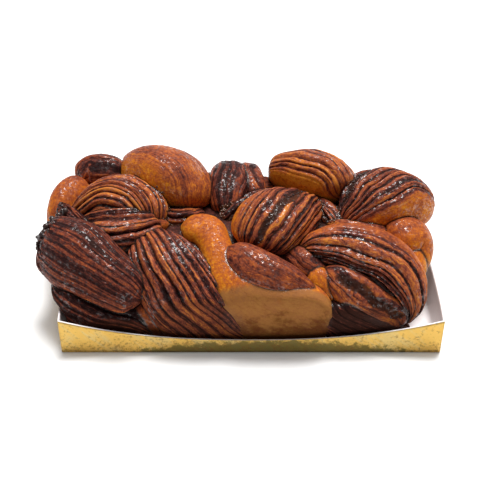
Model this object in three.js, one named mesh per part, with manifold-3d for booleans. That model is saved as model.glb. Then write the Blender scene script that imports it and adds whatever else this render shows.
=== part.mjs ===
// A chocolate babka: one loaf of twisted dough, cut open so that its layers show, in the open
// foil-faced card tray that it comes in. Millimetres, +Z up, +X along the loaf, the front is -Y.
// The origin is on the underside of the tray, in the middle of its floor.

import * as THREE from "three";
import Module from "manifold-3d";

// ---- driving dimensions ------------------------------------------------------------------------

const TRAY = {
  length: 218, // floor, along X
  depth: 125, // floor, along Y
  card: 0.8,
  cornerHeight: 23,
  frontHeight: 9, // lowest point of the rim on the two long sides
  endHeight: 20, // lowest point of the rim on the two ends
  rimCurve: 2.4, // exponent of the curve of the rim
  endBow: 3.2, // how far the rim of an end leans out at its middle
  longSteps: 18, // facets along a long side
  endSteps: 10,
};

const REST_GAP = 0.3; // between the loaf and the card it lies on
const LOAF_BOTTOM = TRAY.card + REST_GAP;

// The loaf pan that shaped the loaf: dough that swelled past a wall is pressed back towards it.
const PAN = {
  left: -97.5,
  right: 89.5,
  front: -55,
  back: 55,
  endLean: 0.36, // outward slope of the end walls
  sideLean: 0.13, // outward slope of the front and back walls
  give: 3, // how far dough bulges past a wall it is pressed on
  freeGive: 60, // the same above the rim, where it is free
  endRim: 20, // height at which the dough leaves the end walls
  sideRim: 48, // height at which it leaves the front and back walls
  rimBlend: 16,
};

// Folds face away from this line inside the loaf.
const HEART = { from: -70, to: 62, height: 14 };

const RING_STEP = 9.5; // between the rings along a fold
const FEWEST_RINGS = 5;
const PLAIN_SIDES = 14; // sides of a fold that shows whole dough
const SQUARENESS = 2.3; // exponent of a fold's superelliptic section
const PLEAT_SHARE = 0.75; // depth of a pleat, as a share of the fold's relief
const LEVEL_SHARE = 0.2; // how far the mean surface of cut layers lies below whole dough
const END_ROUNDING = 0.16; // share of a fold's length that rounds off at each end

// Every fold is given by stations along it, [x, y, z, half width, half height]. `layers` counts the
// cut layers round a fold, `relief` is how deep they are pleated, `cut` is the span of the section
// in degrees, from its outward side, over which they show, and `seed` makes them uneven. A fold
// without layers is whole dough. The heart's folds say which way is outward, and how many rings.
const ALL_ROUND = [-180, 180];
const FOLDS = {
  // front row, from left to right
  frontLeftSheaf: {
    layers: 26, relief: 1.6, seed: 1.3, cut: ALL_ROUND,
    stations: [
      [-121, -16, 45, 13, 11], [-114, -20, 44, 19, 14], [-98, -30, 42, 22, 18],
      [-81, -41, 37, 17, 16], [-67, -46, 31, 14, 14], [-61, -49, 28, 8, 8],
    ],
  },
  frontLeftTip: {
    layers: 12, relief: 1.6, seed: 1.9, cut: ALL_ROUND,
    stations: [[-114, 6, 56, 2.5, 3], [-109, -1, 54, 6, 6], [-97, -17, 50, 8, 7], [-83, -31, 43, 6, 5]],
  },
  frontLeftLip: {
    layers: 10, relief: 1.6, seed: 2.9, cut: ALL_ROUND,
    stations: [[-120, -12, 52, 3, 3], [-115, -13, 52, 7, 6], [-105, -17, 50, 8, 7], [-93, -23, 44, 6, 6]],
  },
  frontLeftNub: {
    layers: 10, relief: 1.6, seed: 5.3, cut: ALL_ROUND,
    stations: [[-126, -20, 46, 3, 3], [-121, -20, 49, 7, 6], [-111, -23, 48, 7, 7]],
  },
  frontLeftFoot: {
    layers: 18, relief: 1.6, seed: 2.1, cut: ALL_ROUND,
    stations: [
      [-116, -36, 31, 6, 7], [-107, -40, 22, 16, 13], [-88, -45, 12, 18, 14], [-67, -49, 8, 15, 13],
      [-55, -53, 6, 9, 9],
    ],
  },
  frontFootGusset: {
    stations: [[-64, -44, 26, 7, 7], [-58, -46, 16, 12, 11], [-48, -46, 7, 12, 10], [-38, -44, 3, 8, 8]],
  },
  frontSecondTwist: {
    layers: 24, relief: 1.6, seed: 3.2, cut: [-180, 22],
    stations: [
      [-63, -12, 43, 10, 8], [-56, -26, 43, 18, 15], [-47, -37, 37, 22, 18], [-34, -48, 24, 24, 17],
      [-16, -54, 10, 22, 15], [0, -57, 3, 12, 9],
    ],
  },
  frontWholeDough: {
    stations: [
      [-42, -1, 43, 6, 7], [-34, -5, 45, 11, 10], [-26, -10, 45, 12, 11], [-21, -19, 44, 10, 11],
      [-17, -31, 40, 11, 13], [-6, -48, 30, 19, 15], [12, -53, 20, 24, 16], [31, -54, 15, 25, 16],
      [45, -54, 9, 20, 12],
    ],
  },
  frontSpindle: {
    layers: 16, relief: 0.6, seed: 1, cut: [45, 180],
    stations: [
      [-15, -28, 46, 3, 3], [-7, -36, 47, 10, 9], [5, -45, 45, 12, 11], [19, -49, 42, 10, 9],
      [30, -52, 38, 6, 5], [37, -54, 35, 2, 2],
    ],
  },
  frontRightArch: {
    layers: 22, relief: 2.2, seed: 5.1, cut: [-18, 180],
    stations: [
      [27, -26, 46, 4, 4], [38, -26, 48, 10, 10], [54, -27, 48, 15, 13], [72, -32, 44, 17, 15],
      [84, -40, 36, 16, 14], [90, -46, 24, 11, 11], [91, -51, 12, 5, 5],
    ],
  },
  frontRightRoot: {
    layers: 8, relief: 0.5, seed: 6.1, cut: ALL_ROUND,
    stations: [[22, -22, 42, 5, 5], [30, -32, 42, 9, 8], [39, -37, 36, 8, 8], [44, -43, 30, 5, 5]],
  },
  frontRightWedge: {
    stations: [[34, -36, 40, 4, 4], [39, -43, 38, 7, 6], [45, -47, 33, 6, 6], [50, -49, 28, 4, 4]],
  },
  frontRightUnder: {
    layers: 14, relief: 0.8, seed: 6.1, cut: [-180, 5],
    stations: [
      [41, -39, 42, 6, 6], [52, -44, 36, 11, 11], [66, -48, 28, 13, 12], [80, -50, 20, 11, 11],
      [89, -51, 12, 6, 6],
    ],
  },
  frontRightFoot: {
    layers: 14, relief: 1.6, seed: 7.3, cut: ALL_ROUND,
    stations: [
      [42, -46, 28, 6, 6], [50, -51, 20, 15, 13], [68, -53, 10, 16, 13], [86, -53, 6, 9, 9],
      [91, -53, 4, 4, 4],
    ],
  },
  // middle
  middleLeftArch: {
    layers: 28, relief: 2.2, seed: 4.4, cut: [-180, 105],
    stations: [
      [-103, 12, 36, 10, 8], [-97, 13, 46, 17, 14], [-85, 13, 52, 20, 18], [-73, 10, 53, 20, 18],
      [-63, 4, 50, 16, 15], [-57, -3, 43, 9, 9],
    ],
  },
  middleLeftUnder: {
    layers: 20, relief: 2.2, seed: 4.6, cut: ALL_ROUND,
    stations: [
      [-106, -3, 38, 6, 6], [-93, -9, 45, 14, 13], [-78, -13, 47, 17, 16], [-65, -10, 47, 15, 15],
      [-54, -4, 45, 9, 9],
    ],
  },
  middleLeftHem: {
    stations: [
      [-84, -28, 43, 5, 5], [-76, -23, 46, 7, 7], [-66, -14, 49, 7, 7], [-57, -6, 49, 5, 5],
      [-49, 1, 46, 3, 3],
    ],
  },
  middleLeftCrevice: {
    layers: 12, relief: 1.6, seed: 4.7, cut: ALL_ROUND,
    stations: [[-56, 14, 42, 6, 6], [-46, 7, 46, 9, 8], [-36, 10, 44, 8, 8], [-28, 16, 41, 5, 5]],
  },
  middleShell: {
    layers: 26, relief: 1.6, seed: 8.2, cut: [-180, 45],
    stations: [
      [33, 24, 42, 12, 9], [26, 9, 50, 19, 15], [16, -6, 53, 22, 18],
      [6, -17, 50, 20, 16], [0, -24, 42, 11, 9],
    ],
  },
  middleBridge: {
    layers: 12, relief: 1.6, seed: 1.7, cut: ALL_ROUND,
    stations: [[-18, 6, 44, 7, 6], [-6, 14, 47, 9, 8], [8, 24, 48, 9, 8], [22, 32, 46, 6, 6]],
  },
  middleRightBridge: {
    layers: 16, relief: 1.6, seed: 5.7, cut: ALL_ROUND,
    stations: [[34, 4, 32, 8, 7], [50, -6, 38, 15, 12], [68, -10, 39, 16, 13], [86, -6, 34, 12, 10]],
  },
  middleCrevice: {
    layers: 12, relief: 1.6, seed: 4.1, cut: ALL_ROUND,
    stations: [[30, 24, 42, 7, 7], [40, 18, 45, 9, 9], [49, 8, 45, 9, 8], [58, -4, 41, 6, 6]],
  },
  // back row, from left to right
  backLeftEnd: {
    stations: [
      [-118, 7, 30, 8, 8], [-119, 18, 41, 10, 10], [-115, 29, 47, 11, 11], [-106, 43, 49, 9, 9],
    ],
  },
  backLeftBud: {
    layers: 10, relief: 1, seed: 2.6, cut: ALL_ROUND,
    stations: [
      [-112, 50, 46, 7, 8], [-102, 54, 50, 12, 12], [-90, 51, 51, 13, 12], [-80, 46, 46, 7, 8],
    ],
  },
  backLeftDome: {
    layers: 18, relief: 1, seed: 9.1, cut: [-180, 62],
    stations: [
      [-76, 54, 48, 13, 10], [-65, 47, 55, 20, 16], [-49, 36, 58, 25, 18], [-40, 26, 52, 22, 16],
      [-37, 18, 43, 13, 11],
    ],
  },
  backBud: {
    layers: 14, relief: 1, seed: 3.7, cut: ALL_ROUND,
    stations: [
      [-14, 56, 46, 9, 8], [-13, 48, 51, 13, 11], [-13, 34, 52, 13, 12], [-14, 22, 48, 11, 11],
      [-15, 13, 42, 7, 7],
    ],
  },
  backSmallBud: {
    layers: 10, relief: 1, seed: 2.9, cut: ALL_ROUND,
    stations: [[-2, 56, 46, 6, 6], [-1, 50, 51, 8, 9], [1, 38, 49, 9, 10], [3, 28, 44, 8, 8]],
  },
  backRightDome: {
    layers: 24, relief: 1.1, seed: 6.6, cut: [-180, 80],
    stations: [
      [14, 55, 49, 10, 10], [26, 49, 54, 16, 13], [40, 41, 57, 19, 16], [52, 34, 55, 19, 15],
      [58, 25, 48, 13, 12],
    ],
  },
  rightFan: {
    layers: 32, relief: 1.6, seed: 7.7, cut: [-180, 58],
    stations: [
      [56, 0, 42, 7, 7], [64, 5, 48, 14, 12], [73, 13, 51, 22, 17], [86, 23, 52, 25, 18],
      [101, 28, 45, 20, 15], [107, 34, 38, 9, 9],
    ],
  },
  rightShoulder: {
    stations: [
      [79, -8, 37, 8, 8], [90, -6, 40, 13, 13], [99, -4, 36, 13, 12], [101, -13, 26, 11, 10],
      [99, -25, 15, 8, 8], [92, -38, 8, 5, 5],
    ],
  },
  // lower back, from left to right
  lowBackLeft: {
    layers: 18, relief: 1.6, seed: 3.3, cut: ALL_ROUND,
    stations: [
      [-48, 46, 5, 8, 8], [-68, 47, 14, 15, 13], [-88, 43, 24, 17, 14],
      [-104, 35, 34, 13, 10], [-110, 28, 38, 5, 5],
    ],
  },
  lowBackTwist: {
    layers: 22, relief: 1.6, seed: 4.9, cut: ALL_ROUND,
    stations: [
      [-72, 44, 50, 8, 7], [-60, 48, 38, 18, 14], [-48, 50, 24, 20, 15],
      [-36, 50, 11, 20, 14], [-26, 50, 3, 12, 10],
    ],
  },
  lowBackWholeDough: {
    stations: [
      [-34, 38, 50, 7, 7], [-22, 45, 42, 15, 13], [-6, 49, 28, 19, 14],
      [10, 50, 12, 21, 13], [24, 50, 3, 14, 10],
    ],
  },
  lowBackSpindle: {
    layers: 16, relief: 0.6, seed: 2.2, cut: ALL_ROUND,
    stations: [[-8, 42, 46, 3, 3], [6, 48, 42, 9, 8], [22, 50, 34, 10, 9], [36, 51, 26, 4, 4]],
  },
  lowBackSecondTwist: {
    layers: 22, relief: 1.6, seed: 5.9, cut: ALL_ROUND,
    stations: [
      [24, 42, 50, 7, 7], [36, 48, 40, 16, 14], [48, 50, 26, 19, 15],
      [58, 50, 12, 19, 13], [66, 50, 3, 12, 9],
    ],
  },
  lowBackRight: {
    layers: 18, relief: 1.6, seed: 6.9, cut: ALL_ROUND,
    stations: [[70, 36, 48, 8, 8], [80, 42, 36, 15, 13], [84, 46, 20, 16, 12], [82, 48, 6, 11, 9]],
  },
  // the two ends
  rightEndUpper: {
    stations: [
      [94, 36, 30, 6, 6], [98, 22, 31, 13, 10], [99, 2, 30, 15, 10], [97, -18, 27, 13, 10],
      [93, -32, 25, 6, 6],
    ],
  },
  rightEndLower: {
    stations: [[84, 34, 10, 7, 7], [88, 14, 12, 13, 10], [89, -10, 12, 13, 10], [86, -34, 10, 8, 8]],
  },
  leftEndUpper: {
    layers: 20, relief: 1.6, seed: 8.9, cut: ALL_ROUND,
    stations: [[-108, -26, 34, 6, 6], [-114, -8, 34, 14, 10], [-115, 10, 34, 14, 10], [-109, 26, 32, 8, 7]],
  },
  leftEndLower: {
    stations: [[-93, -34, 10, 8, 8], [-97, -12, 12, 13, 10], [-97, 12, 12, 13, 10], [-93, 32, 10, 8, 8]],
  },
  // inside
  lowerHeart: {
    outward: [0, 0, 1], rings: 7,
    stations: [
      [-98, 0, 16, 36, 14], [-84, 0, 17, 49, 15.5], [0, 0, 17, 51, 16],
      [74, 0, 17, 49, 15.5], [89, 0, 16, 36, 14],
    ],
  },
  upperHeart: {
    outward: [0, 0, 1], rings: 7,
    stations: [
      [-98, 0, 28, 26, 12], [-76, 0, 29, 44, 17], [0, 0, 29, 46, 18],
      [68, 0, 29, 44, 17], [92, 0, 28, 28, 12],
    ],
  },
};

const COLOURS = { crust: 0x74402a, foil: 0xb9933f };

// ---- small helpers -----------------------------------------------------------------------------

const wasm = await Module();
wasm.setup();

const clamp = THREE.MathUtils.clamp;
const turn = (share) => Math.sin(2 * Math.PI * share);

// A repeatable number from 0 to 1 for one layer of one fold.
function uneven(index, seed) {
  const value = Math.sin(index * 12.9898 + seed * 78.233) * 43758.5453;
  return value - Math.floor(value);
}

// How far dough that would reach `over` past a wall really bulges, when it can give by `give`.
function pressed(over, give) {
  return over > 0 ? give * (1 - Math.exp(-over / give)) : over;
}

// ---- the loaf ----------------------------------------------------------------------------------

function giveAt(height, rim) {
  const free = THREE.MathUtils.smoothstep(height, rim, rim + PAN.rimBlend);
  return PAN.give * (PAN.freeGive / PAN.give) ** free;
}

// Presses a coordinate between two pan walls that lean outward.
function betweenWalls(value, low, high, lean, rim, z) {
  const spread = lean * clamp(z, 0, rim + PAN.rimBlend);
  const give = giveAt(z, rim);
  if (value > high + spread) {
    return high + spread + pressed(value - high - spread, give);
  }
  if (value < low - spread) {
    return low - spread - pressed(low - spread - value, give);
  }
  return value;
}

function pressIntoPan(point) {
  const { x, y, z } = point;
  point.x = betweenWalls(x, PAN.left, PAN.right, PAN.endLean, PAN.endRim, z);
  point.y = betweenWalls(y, PAN.front, PAN.back, PAN.sideLean, PAN.sideRim, z);
  return point;
}

// The outward and sideways directions of a fold's section at a point of its axis.
function sectionFrame(fold, point, tangent) {
  const heart = new THREE.Vector3(clamp(point.x, HEART.from, HEART.to), 0, HEART.height);
  const outward = fold.outward ? new THREE.Vector3(...fold.outward) : point.clone().sub(heart);
  outward.addScaledVector(tangent, -outward.dot(tangent)).normalize();
  return { outward, sideways: new THREE.Vector3().crossVectors(tangent, outward) };
}

// The height of the pleats at a share of the way round a fold: every second side is a groove.
function pleatHeight(fold, side, share) {
  if (!fold.layers) {
    return 0;
  }
  const degrees = 360 * share;
  const [from, to] = fold.cut;
  const open = 1 / (1 + Math.exp((from - degrees) / 4)) / (1 + Math.exp((degrees - to) / 4));
  const groove = side % 2 ? 0 : 1;
  const depth = PLEAT_SHARE * (0.6 + 0.7 * uneven(Math.floor(side / 2), fold.seed + 5));
  return -fold.relief * open * (LEVEL_SHARE + depth * groove);
}

// Signed power, for a superelliptic section.
const squared = (value) => Math.sign(value) * Math.abs(value) ** (2 / SQUARENESS);

function foldRing(fold, axis, girth, t) {
  const sides = fold.layers || PLAIN_SIDES;
  const centre = axis.getPoint(t);
  const { outward, sideways } = sectionFrame(fold, centre, axis.getTangent(t));
  const rounding = clamp(Math.min(t, 1 - t) / END_ROUNDING, 0, 1);
  const round = Math.sqrt(1 - (1 - rounding) ** 2);
  const { x: halfWidth, y: halfHeight } = girth.getPoint(t);
  const ring = [];
  for (let side = 0; side < sides; side += 1) {
    const share = side / sides - 0.5;
    const wander = fold.layers ? 0.22 / sides : 0;
    const seed = fold.seed ?? 0;
    const unevenShare = wander * (turn(3 * share + seed) + 0.7 * turn(5 * share + 1.7 * seed + t / 2));
    const angle = 2 * Math.PI * (share + unevenShare);
    const pleat = pleatHeight(fold, side, share) * round;
    ring.push(
      centre
        .clone()
        .addScaledVector(outward, squared(Math.cos(angle)) * (halfHeight * round + pleat))
        .addScaledVector(sideways, squared(Math.sin(angle)) * (halfWidth * round + pleat)),
    );
  }
  return ring;
}

function splineThrough(points) {
  return new THREE.CatmullRomCurve3(points, false, "catmullrom", 0.5);
}

// One fold as a closed solid: rings along its axis, closed by a point at each end.
function sweepFold(fold) {
  const axis = splineThrough(fold.stations.map(([x, y, z]) => new THREE.Vector3(x, y, z)));
  const girth = splineThrough(fold.stations.map(([, , , w, h]) => new THREE.Vector3(w, h, 0)));
  const rings = fold.rings ?? Math.max(FEWEST_RINGS, Math.round(axis.getLength() / RING_STEP));
  const points = [axis.getPoint(0)];
  for (let ring = 1; ring <= rings; ring += 1) {
    const even = ring / (rings + 1);
    const t = (even + 0.5 - 0.5 * Math.cos(Math.PI * even)) / 2; // closer together at the ends
    points.push(...foldRing(fold, axis, girth, t));
  }
  points.push(axis.getPoint(1));
  return toSolid(points.map(pressIntoPan), ringFaces(rings, fold.layers || PLAIN_SIDES));
}

// The faces of a closed body made of `rings` rings of `sides` points, with a point before the
// first ring and one after the last.
function ringFaces(rings, sides) {
  const faces = [];
  const last = rings * sides + 1;
  for (let side = 0; side < sides; side += 1) {
    const next = (side + 1) % sides;
    faces.push([0, 1 + side, 1 + next]);
    for (let ring = 0; ring < rings - 1; ring += 1) {
      const near = 1 + ring * sides;
      const far = near + sides;
      faces.push([near + side, far + side, far + next], [near + side, far + next, near + next]);
    }
    const near = 1 + (rings - 1) * sides;
    faces.push([near + side, last, near + next]);
  }
  return faces;
}

function toSolid(points, faces) {
  const vertProperties = new Float32Array(points.flatMap(({ x, y, z }) => [x, y, z]));
  const solid = new wasm.Manifold(
    new wasm.Mesh({ numProp: 3, vertProperties, triVerts: new Uint32Array(faces.flat()) }),
  );
  if (solid.volume() > 0) {
    return solid;
  }
  return toSolid(points, faces.map(([a, b, c]) => [a, c, b]));
}

function toGeometry(solid) {
  const { vertProperties, triVerts } = solid.getMesh();
  const geometry = new THREE.BufferGeometry();
  geometry.setAttribute("position", new THREE.BufferAttribute(new Float32Array(vertProperties), 3));
  geometry.setIndex(new THREE.BufferAttribute(new Uint32Array(triVerts), 1));
  geometry.computeVertexNormals();
  return geometry;
}

// A block under the loaf, to cut its underside flat.
function blockUnder(top) {
  const reach = TRAY.length;
  const block = new THREE.BoxGeometry(2 * reach, 2 * reach, reach);
  block.translate(0, 0, top - reach / 2);
  const corners = block.attributes.position;
  const index = new Map();
  const points = [];
  const merged = [];
  for (let i = 0; i < corners.count; i += 1) {
    const corner = new THREE.Vector3().fromBufferAttribute(corners, i);
    const key = corner.toArray().join();
    if (!index.has(key)) {
      index.set(key, points.push(corner) - 1);
    }
    merged.push(index.get(key));
  }
  const faces = [];
  for (let i = 0; i < block.index.count; i += 3) {
    faces.push([0, 1, 2].map((corner) => merged[block.index.getX(i + corner)]));
  }
  return toSolid(points, faces);
}

// The biggest shell alone: no loose scraps, and no hollows sealed inside.
function outerShell(solid) {
  return solid.decompose().reduce((big, shell) => (shell.volume() > big.volume() ? shell : big));
}

function makeLoaf() {
  const joined = Object.values(FOLDS).map(sweepFold).reduce((loaf, fold) => loaf.add(fold));
  const loaf = outerShell(joined.subtract(blockUnder(LOAF_BOTTOM)));
  const crust = new THREE.MeshStandardMaterial({
    color: COLOURS.crust, roughness: 0.45, metalness: 0, flatShading: true,
  });
  const mesh = new THREE.Mesh(toGeometry(loaf), crust);
  mesh.name = "babka_loaf";
  return mesh;
}

// ---- the tray ----------------------------------------------------------------------------------

// Points round the tray, each with its place on the floor's edge and on the rim.
function trayOutline() {
  const { length, depth, cornerHeight, frontHeight, endHeight, endBow } = TRAY;
  const outline = [];
  const sides = [
    { steps: TRAY.longSteps, from: [-1, -1], to: [1, -1], height: frontHeight, bow: 0 },
    { steps: TRAY.endSteps, from: [1, -1], to: [1, 1], height: endHeight, bow: endBow },
    { steps: TRAY.longSteps, from: [1, 1], to: [-1, 1], height: frontHeight, bow: 0 },
    { steps: TRAY.endSteps, from: [-1, 1], to: [-1, -1], height: endHeight, bow: -endBow },
  ];
  for (const { steps, from, to, height, bow } of sides) {
    for (let i = 0; i < steps; i += 1) {
      const share = i / steps;
      const middle = 1 - Math.abs(2 * share - 1) ** TRAY.rimCurve; // 0 at the corners, 1 halfway
      const x = THREE.MathUtils.lerp(from[0], to[0], share) * (length / 2);
      const y = THREE.MathUtils.lerp(from[1], to[1], share) * (depth / 2);
      const rim = THREE.MathUtils.lerp(cornerHeight, height, middle);
      outline.push({ x, y, rimX: x + bow * middle, rim });
    }
  }
  return outline;
}

function makeTray() {
  const { length, depth, card } = TRAY;
  const inX = 1 - (2 * card) / length;
  const inY = 1 - (2 * card) / depth;
  const outline = trayOutline();
  const points = [
    new THREE.Vector3(0, 0, 0),
    ...outline.map(({ x, y }) => new THREE.Vector3(x, y, 0)),
    ...outline.map(({ rimX, y, rim }) => new THREE.Vector3(rimX, y, rim)),
    ...outline.map(({ rimX, y, rim }) => new THREE.Vector3(rimX * inX, y * inY, rim)),
    ...outline.map(({ x, y }) => new THREE.Vector3(x * inX, y * inY, card)),
    new THREE.Vector3(0, 0, card),
  ];
  const rings = 4;
  const foil = new THREE.MeshStandardMaterial({
    color: COLOURS.foil, roughness: 0.35, metalness: 0.8, flatShading: true,
  });
  const mesh = new THREE.Mesh(toGeometry(toSolid(points, ringFaces(rings, outline.length))), foil);
  mesh.name = "card_tray";
  return mesh;
}

// ---- the object --------------------------------------------------------------------------------

const group = new THREE.Group();
group.add(makeTray(), makeLoaf());

export default group;
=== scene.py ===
"""Dress a chocolate babka in its open, foil-faced card tray.

The loaf is a set of folds of dough. Each fold is swept along its own stations, pleated where it is
cut open, and pressed against the walls of the pan that shaped the loaf. Stations are in millimetres
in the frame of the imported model; meshes are made in metres.
"""

from __future__ import annotations

import logging
import math
from dataclasses import dataclass, field
from enum import Enum

import bpy
import numpy as np
from numpy.typing import NDArray
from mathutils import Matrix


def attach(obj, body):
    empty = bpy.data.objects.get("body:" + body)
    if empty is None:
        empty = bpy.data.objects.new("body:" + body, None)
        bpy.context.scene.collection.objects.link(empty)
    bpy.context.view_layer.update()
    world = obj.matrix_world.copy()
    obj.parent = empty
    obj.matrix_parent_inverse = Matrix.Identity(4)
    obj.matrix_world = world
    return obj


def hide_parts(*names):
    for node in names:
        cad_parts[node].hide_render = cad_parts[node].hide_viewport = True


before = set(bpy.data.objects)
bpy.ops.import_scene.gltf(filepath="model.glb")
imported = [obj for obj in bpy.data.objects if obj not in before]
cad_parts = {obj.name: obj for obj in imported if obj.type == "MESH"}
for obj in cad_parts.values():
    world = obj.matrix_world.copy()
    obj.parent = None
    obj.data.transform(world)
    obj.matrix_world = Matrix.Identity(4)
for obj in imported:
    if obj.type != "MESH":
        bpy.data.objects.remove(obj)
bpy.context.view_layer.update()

LOG = logging.getLogger("babka")
MM = 0.001
Array = NDArray[np.float64]
Faces = NDArray[np.int64]
Colour = tuple[float, float, float]
Socket = bpy.types.NodeSocket
Source = Socket | float | int | bool | str | tuple[float, ...]


class Trait(str, Enum):
    """What a point of the crust knows about itself, kept as an attribute of its mesh."""

    LAYER = "layer"  # which cut layer it lies in, counted round the fold
    ALONG = "along"  # distance along the fold, in metres
    CREST = "crest"  # 1 on the crest of a layer, 0 in the groove beside it
    CUT = "cut"  # 1 where cut layers show, 0 on whole dough
    FILLING = "filling"  # 1 where chocolate filling shows between layers
    PAN = "pan"  # 1 where the dough lay against the pan
    WARMTH = "warmth"  # 0 reddish brown, 1 orange
    TOAST = "toast"  # 0 pale, 1 dark
    CHANNEL = "channel"  # 1 in an open seam of lumpy filling
    CREASE = "crease"  # 1 where another fold touches it
    SKY = "sky"  # 1 where it faces up, -1 where it faces down
    BURIED = "buried"  # 1 where another fold covers it
    RADIUS = "morsel_radius"  # of the morsel that lies there, in metres


# ---- node helpers ------------------------------------------------------------------------------


class Graph:
    """A node tree that is written as formulas: each method adds a node and returns its output."""

    def __init__(self, tree: bpy.types.NodeTree) -> None:
        """Work on a tree."""
        self.tree = tree

    def node(
        self, kind: str, inputs: dict[str | int, Source] | None = None, **settings: object
    ) -> bpy.types.Node:
        """Add a node.

        Args:
            kind: the node's type name.
            inputs: what feeds its inputs, by name or place.
            settings: properties of the node to set.

        Returns:
            The new node.
        """
        made = self.tree.nodes.new(kind)
        for name, value in settings.items():
            setattr(made, name, value)
        for name, source in (inputs or {}).items():
            self.feed(source, made.inputs[name])
        return made

    def feed(self, source: Source, target: Socket) -> None:
        """Link an output to an input, or set the input's own value."""
        if isinstance(source, bpy.types.NodeSocket):
            self.tree.links.new(source, target)
        elif target.type == "RGBA" and len(source) == 3:
            target.default_value = (*source, 1.0)
        else:
            target.default_value = source

    def math(self, operation: str, first: Source, second: Source = 0.0) -> Socket:
        """Return the output of a Math node."""
        return self.node("ShaderNodeMath", {0: first, 1: second}, operation=operation).outputs[0]

    def product(self, *parts: Source) -> Socket:
        """Return the product of its arguments."""
        result = parts[0]
        for part in parts[1:]:
            result = self.math("MULTIPLY", result, part)
        return result

    def total(self, *parts: Source) -> Socket:
        """Return the sum of its arguments."""
        result = parts[0]
        for part in parts[1:]:
            result = self.math("ADD", result, part)
        return result

    def about(self, value: Source, gain: float, centre: float = 0.5) -> Socket:
        """Return how far a value lies from a centre, times a gain."""
        return self.math("MULTIPLY", self.math("SUBTRACT", value, centre), gain)

    def rest(self, value: Source) -> Socket:
        """Return what is left of 1."""
        return self.math("SUBTRACT", 1.0, value)

    def ease(self, value: Source, low: float, high: float) -> Socket:
        """Return a smooth step of a value, from 0 at `low` to 1 at `high`."""
        made = self.node("ShaderNodeMapRange", {"Value": value, "From Min": low, "From Max": high})
        made.interpolation_type = "SMOOTHSTEP"
        return made.outputs["Result"]

    def vector(self, x: Source, y: Source, z: Source) -> Socket:
        """Return a vector made of three numbers."""
        return self.node("ShaderNodeCombineXYZ", {0: x, 1: y, 2: z}).outputs[0]

    def blend(self, share: Source, first: Source, second: Source) -> Socket:
        """Return a mix of two colours."""
        return self.node("ShaderNodeMix", {0: share, 6: first, 7: second}, data_type="RGBA").outputs[2]

    def ramp(self, value: Source, stops: tuple[tuple[float, Colour], ...]) -> Socket:
        """Return the colour at a value between stops.

        Args:
            value: where to read, from 0 to 1.
            stops: the places and colours between which it blends.

        Returns:
            The colour.
        """
        made = self.node("ShaderNodeValToRGB", {"Fac": value})
        elements = made.color_ramp.elements
        while len(elements) < len(stops):
            elements.new(1.0)
        for element, (position, colour) in zip(elements, stops):
            element.position = position
            element.color = (*colour, 1.0)
        return made.outputs["Color"]

    def noise(self, place: Source, scale: float, detail: float = 3.0, rough: float = 0.5) -> Socket:
        """Return noise round 0.5.

        Args:
            place: the coordinates to read.
            scale: features for each unit of the coordinates.
            detail: octaves of finer noise.
            rough: how strong the finer octaves are.

        Returns:
            The noise's factor.
        """
        inputs = {"Vector": place, "Scale": scale, "Detail": detail, "Roughness": rough}
        return self.node("ShaderNodeTexNoise", inputs, noise_dimensions="3D").outputs[0]

    def scaled(self, vector: Source, factor: Source) -> Socket:
        """Return a vector times a number."""
        return self.node("ShaderNodeVectorMath", {0: vector, 3: factor}, operation="SCALE").outputs[0]

    def trait(self, trait: Trait) -> Socket:
        """Return a number that the mesh keeps for each point."""
        return self.node("ShaderNodeAttribute", attribute_name=trait.value).outputs["Fac"]

    def place(self) -> Socket:
        """Return the place of a point of the surface, in the object's own coordinates."""
        return self.node("ShaderNodeTexCoord").outputs["Object"]

    def bump(self, height: Source, strength: float, distance: float) -> Socket:
        """Return the normal of a surface with fine relief."""
        inputs = {"Height": height, "Strength": strength, "Distance": distance}
        return self.node("ShaderNodeBump", inputs).outputs[0]

    def surface(self, inputs: dict[str | int, Source]) -> None:
        """End a material with one surface."""
        made = self.node("ShaderNodeBsdfPrincipled", inputs)
        self.node("ShaderNodeOutputMaterial", {0: made.outputs[0]})


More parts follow.
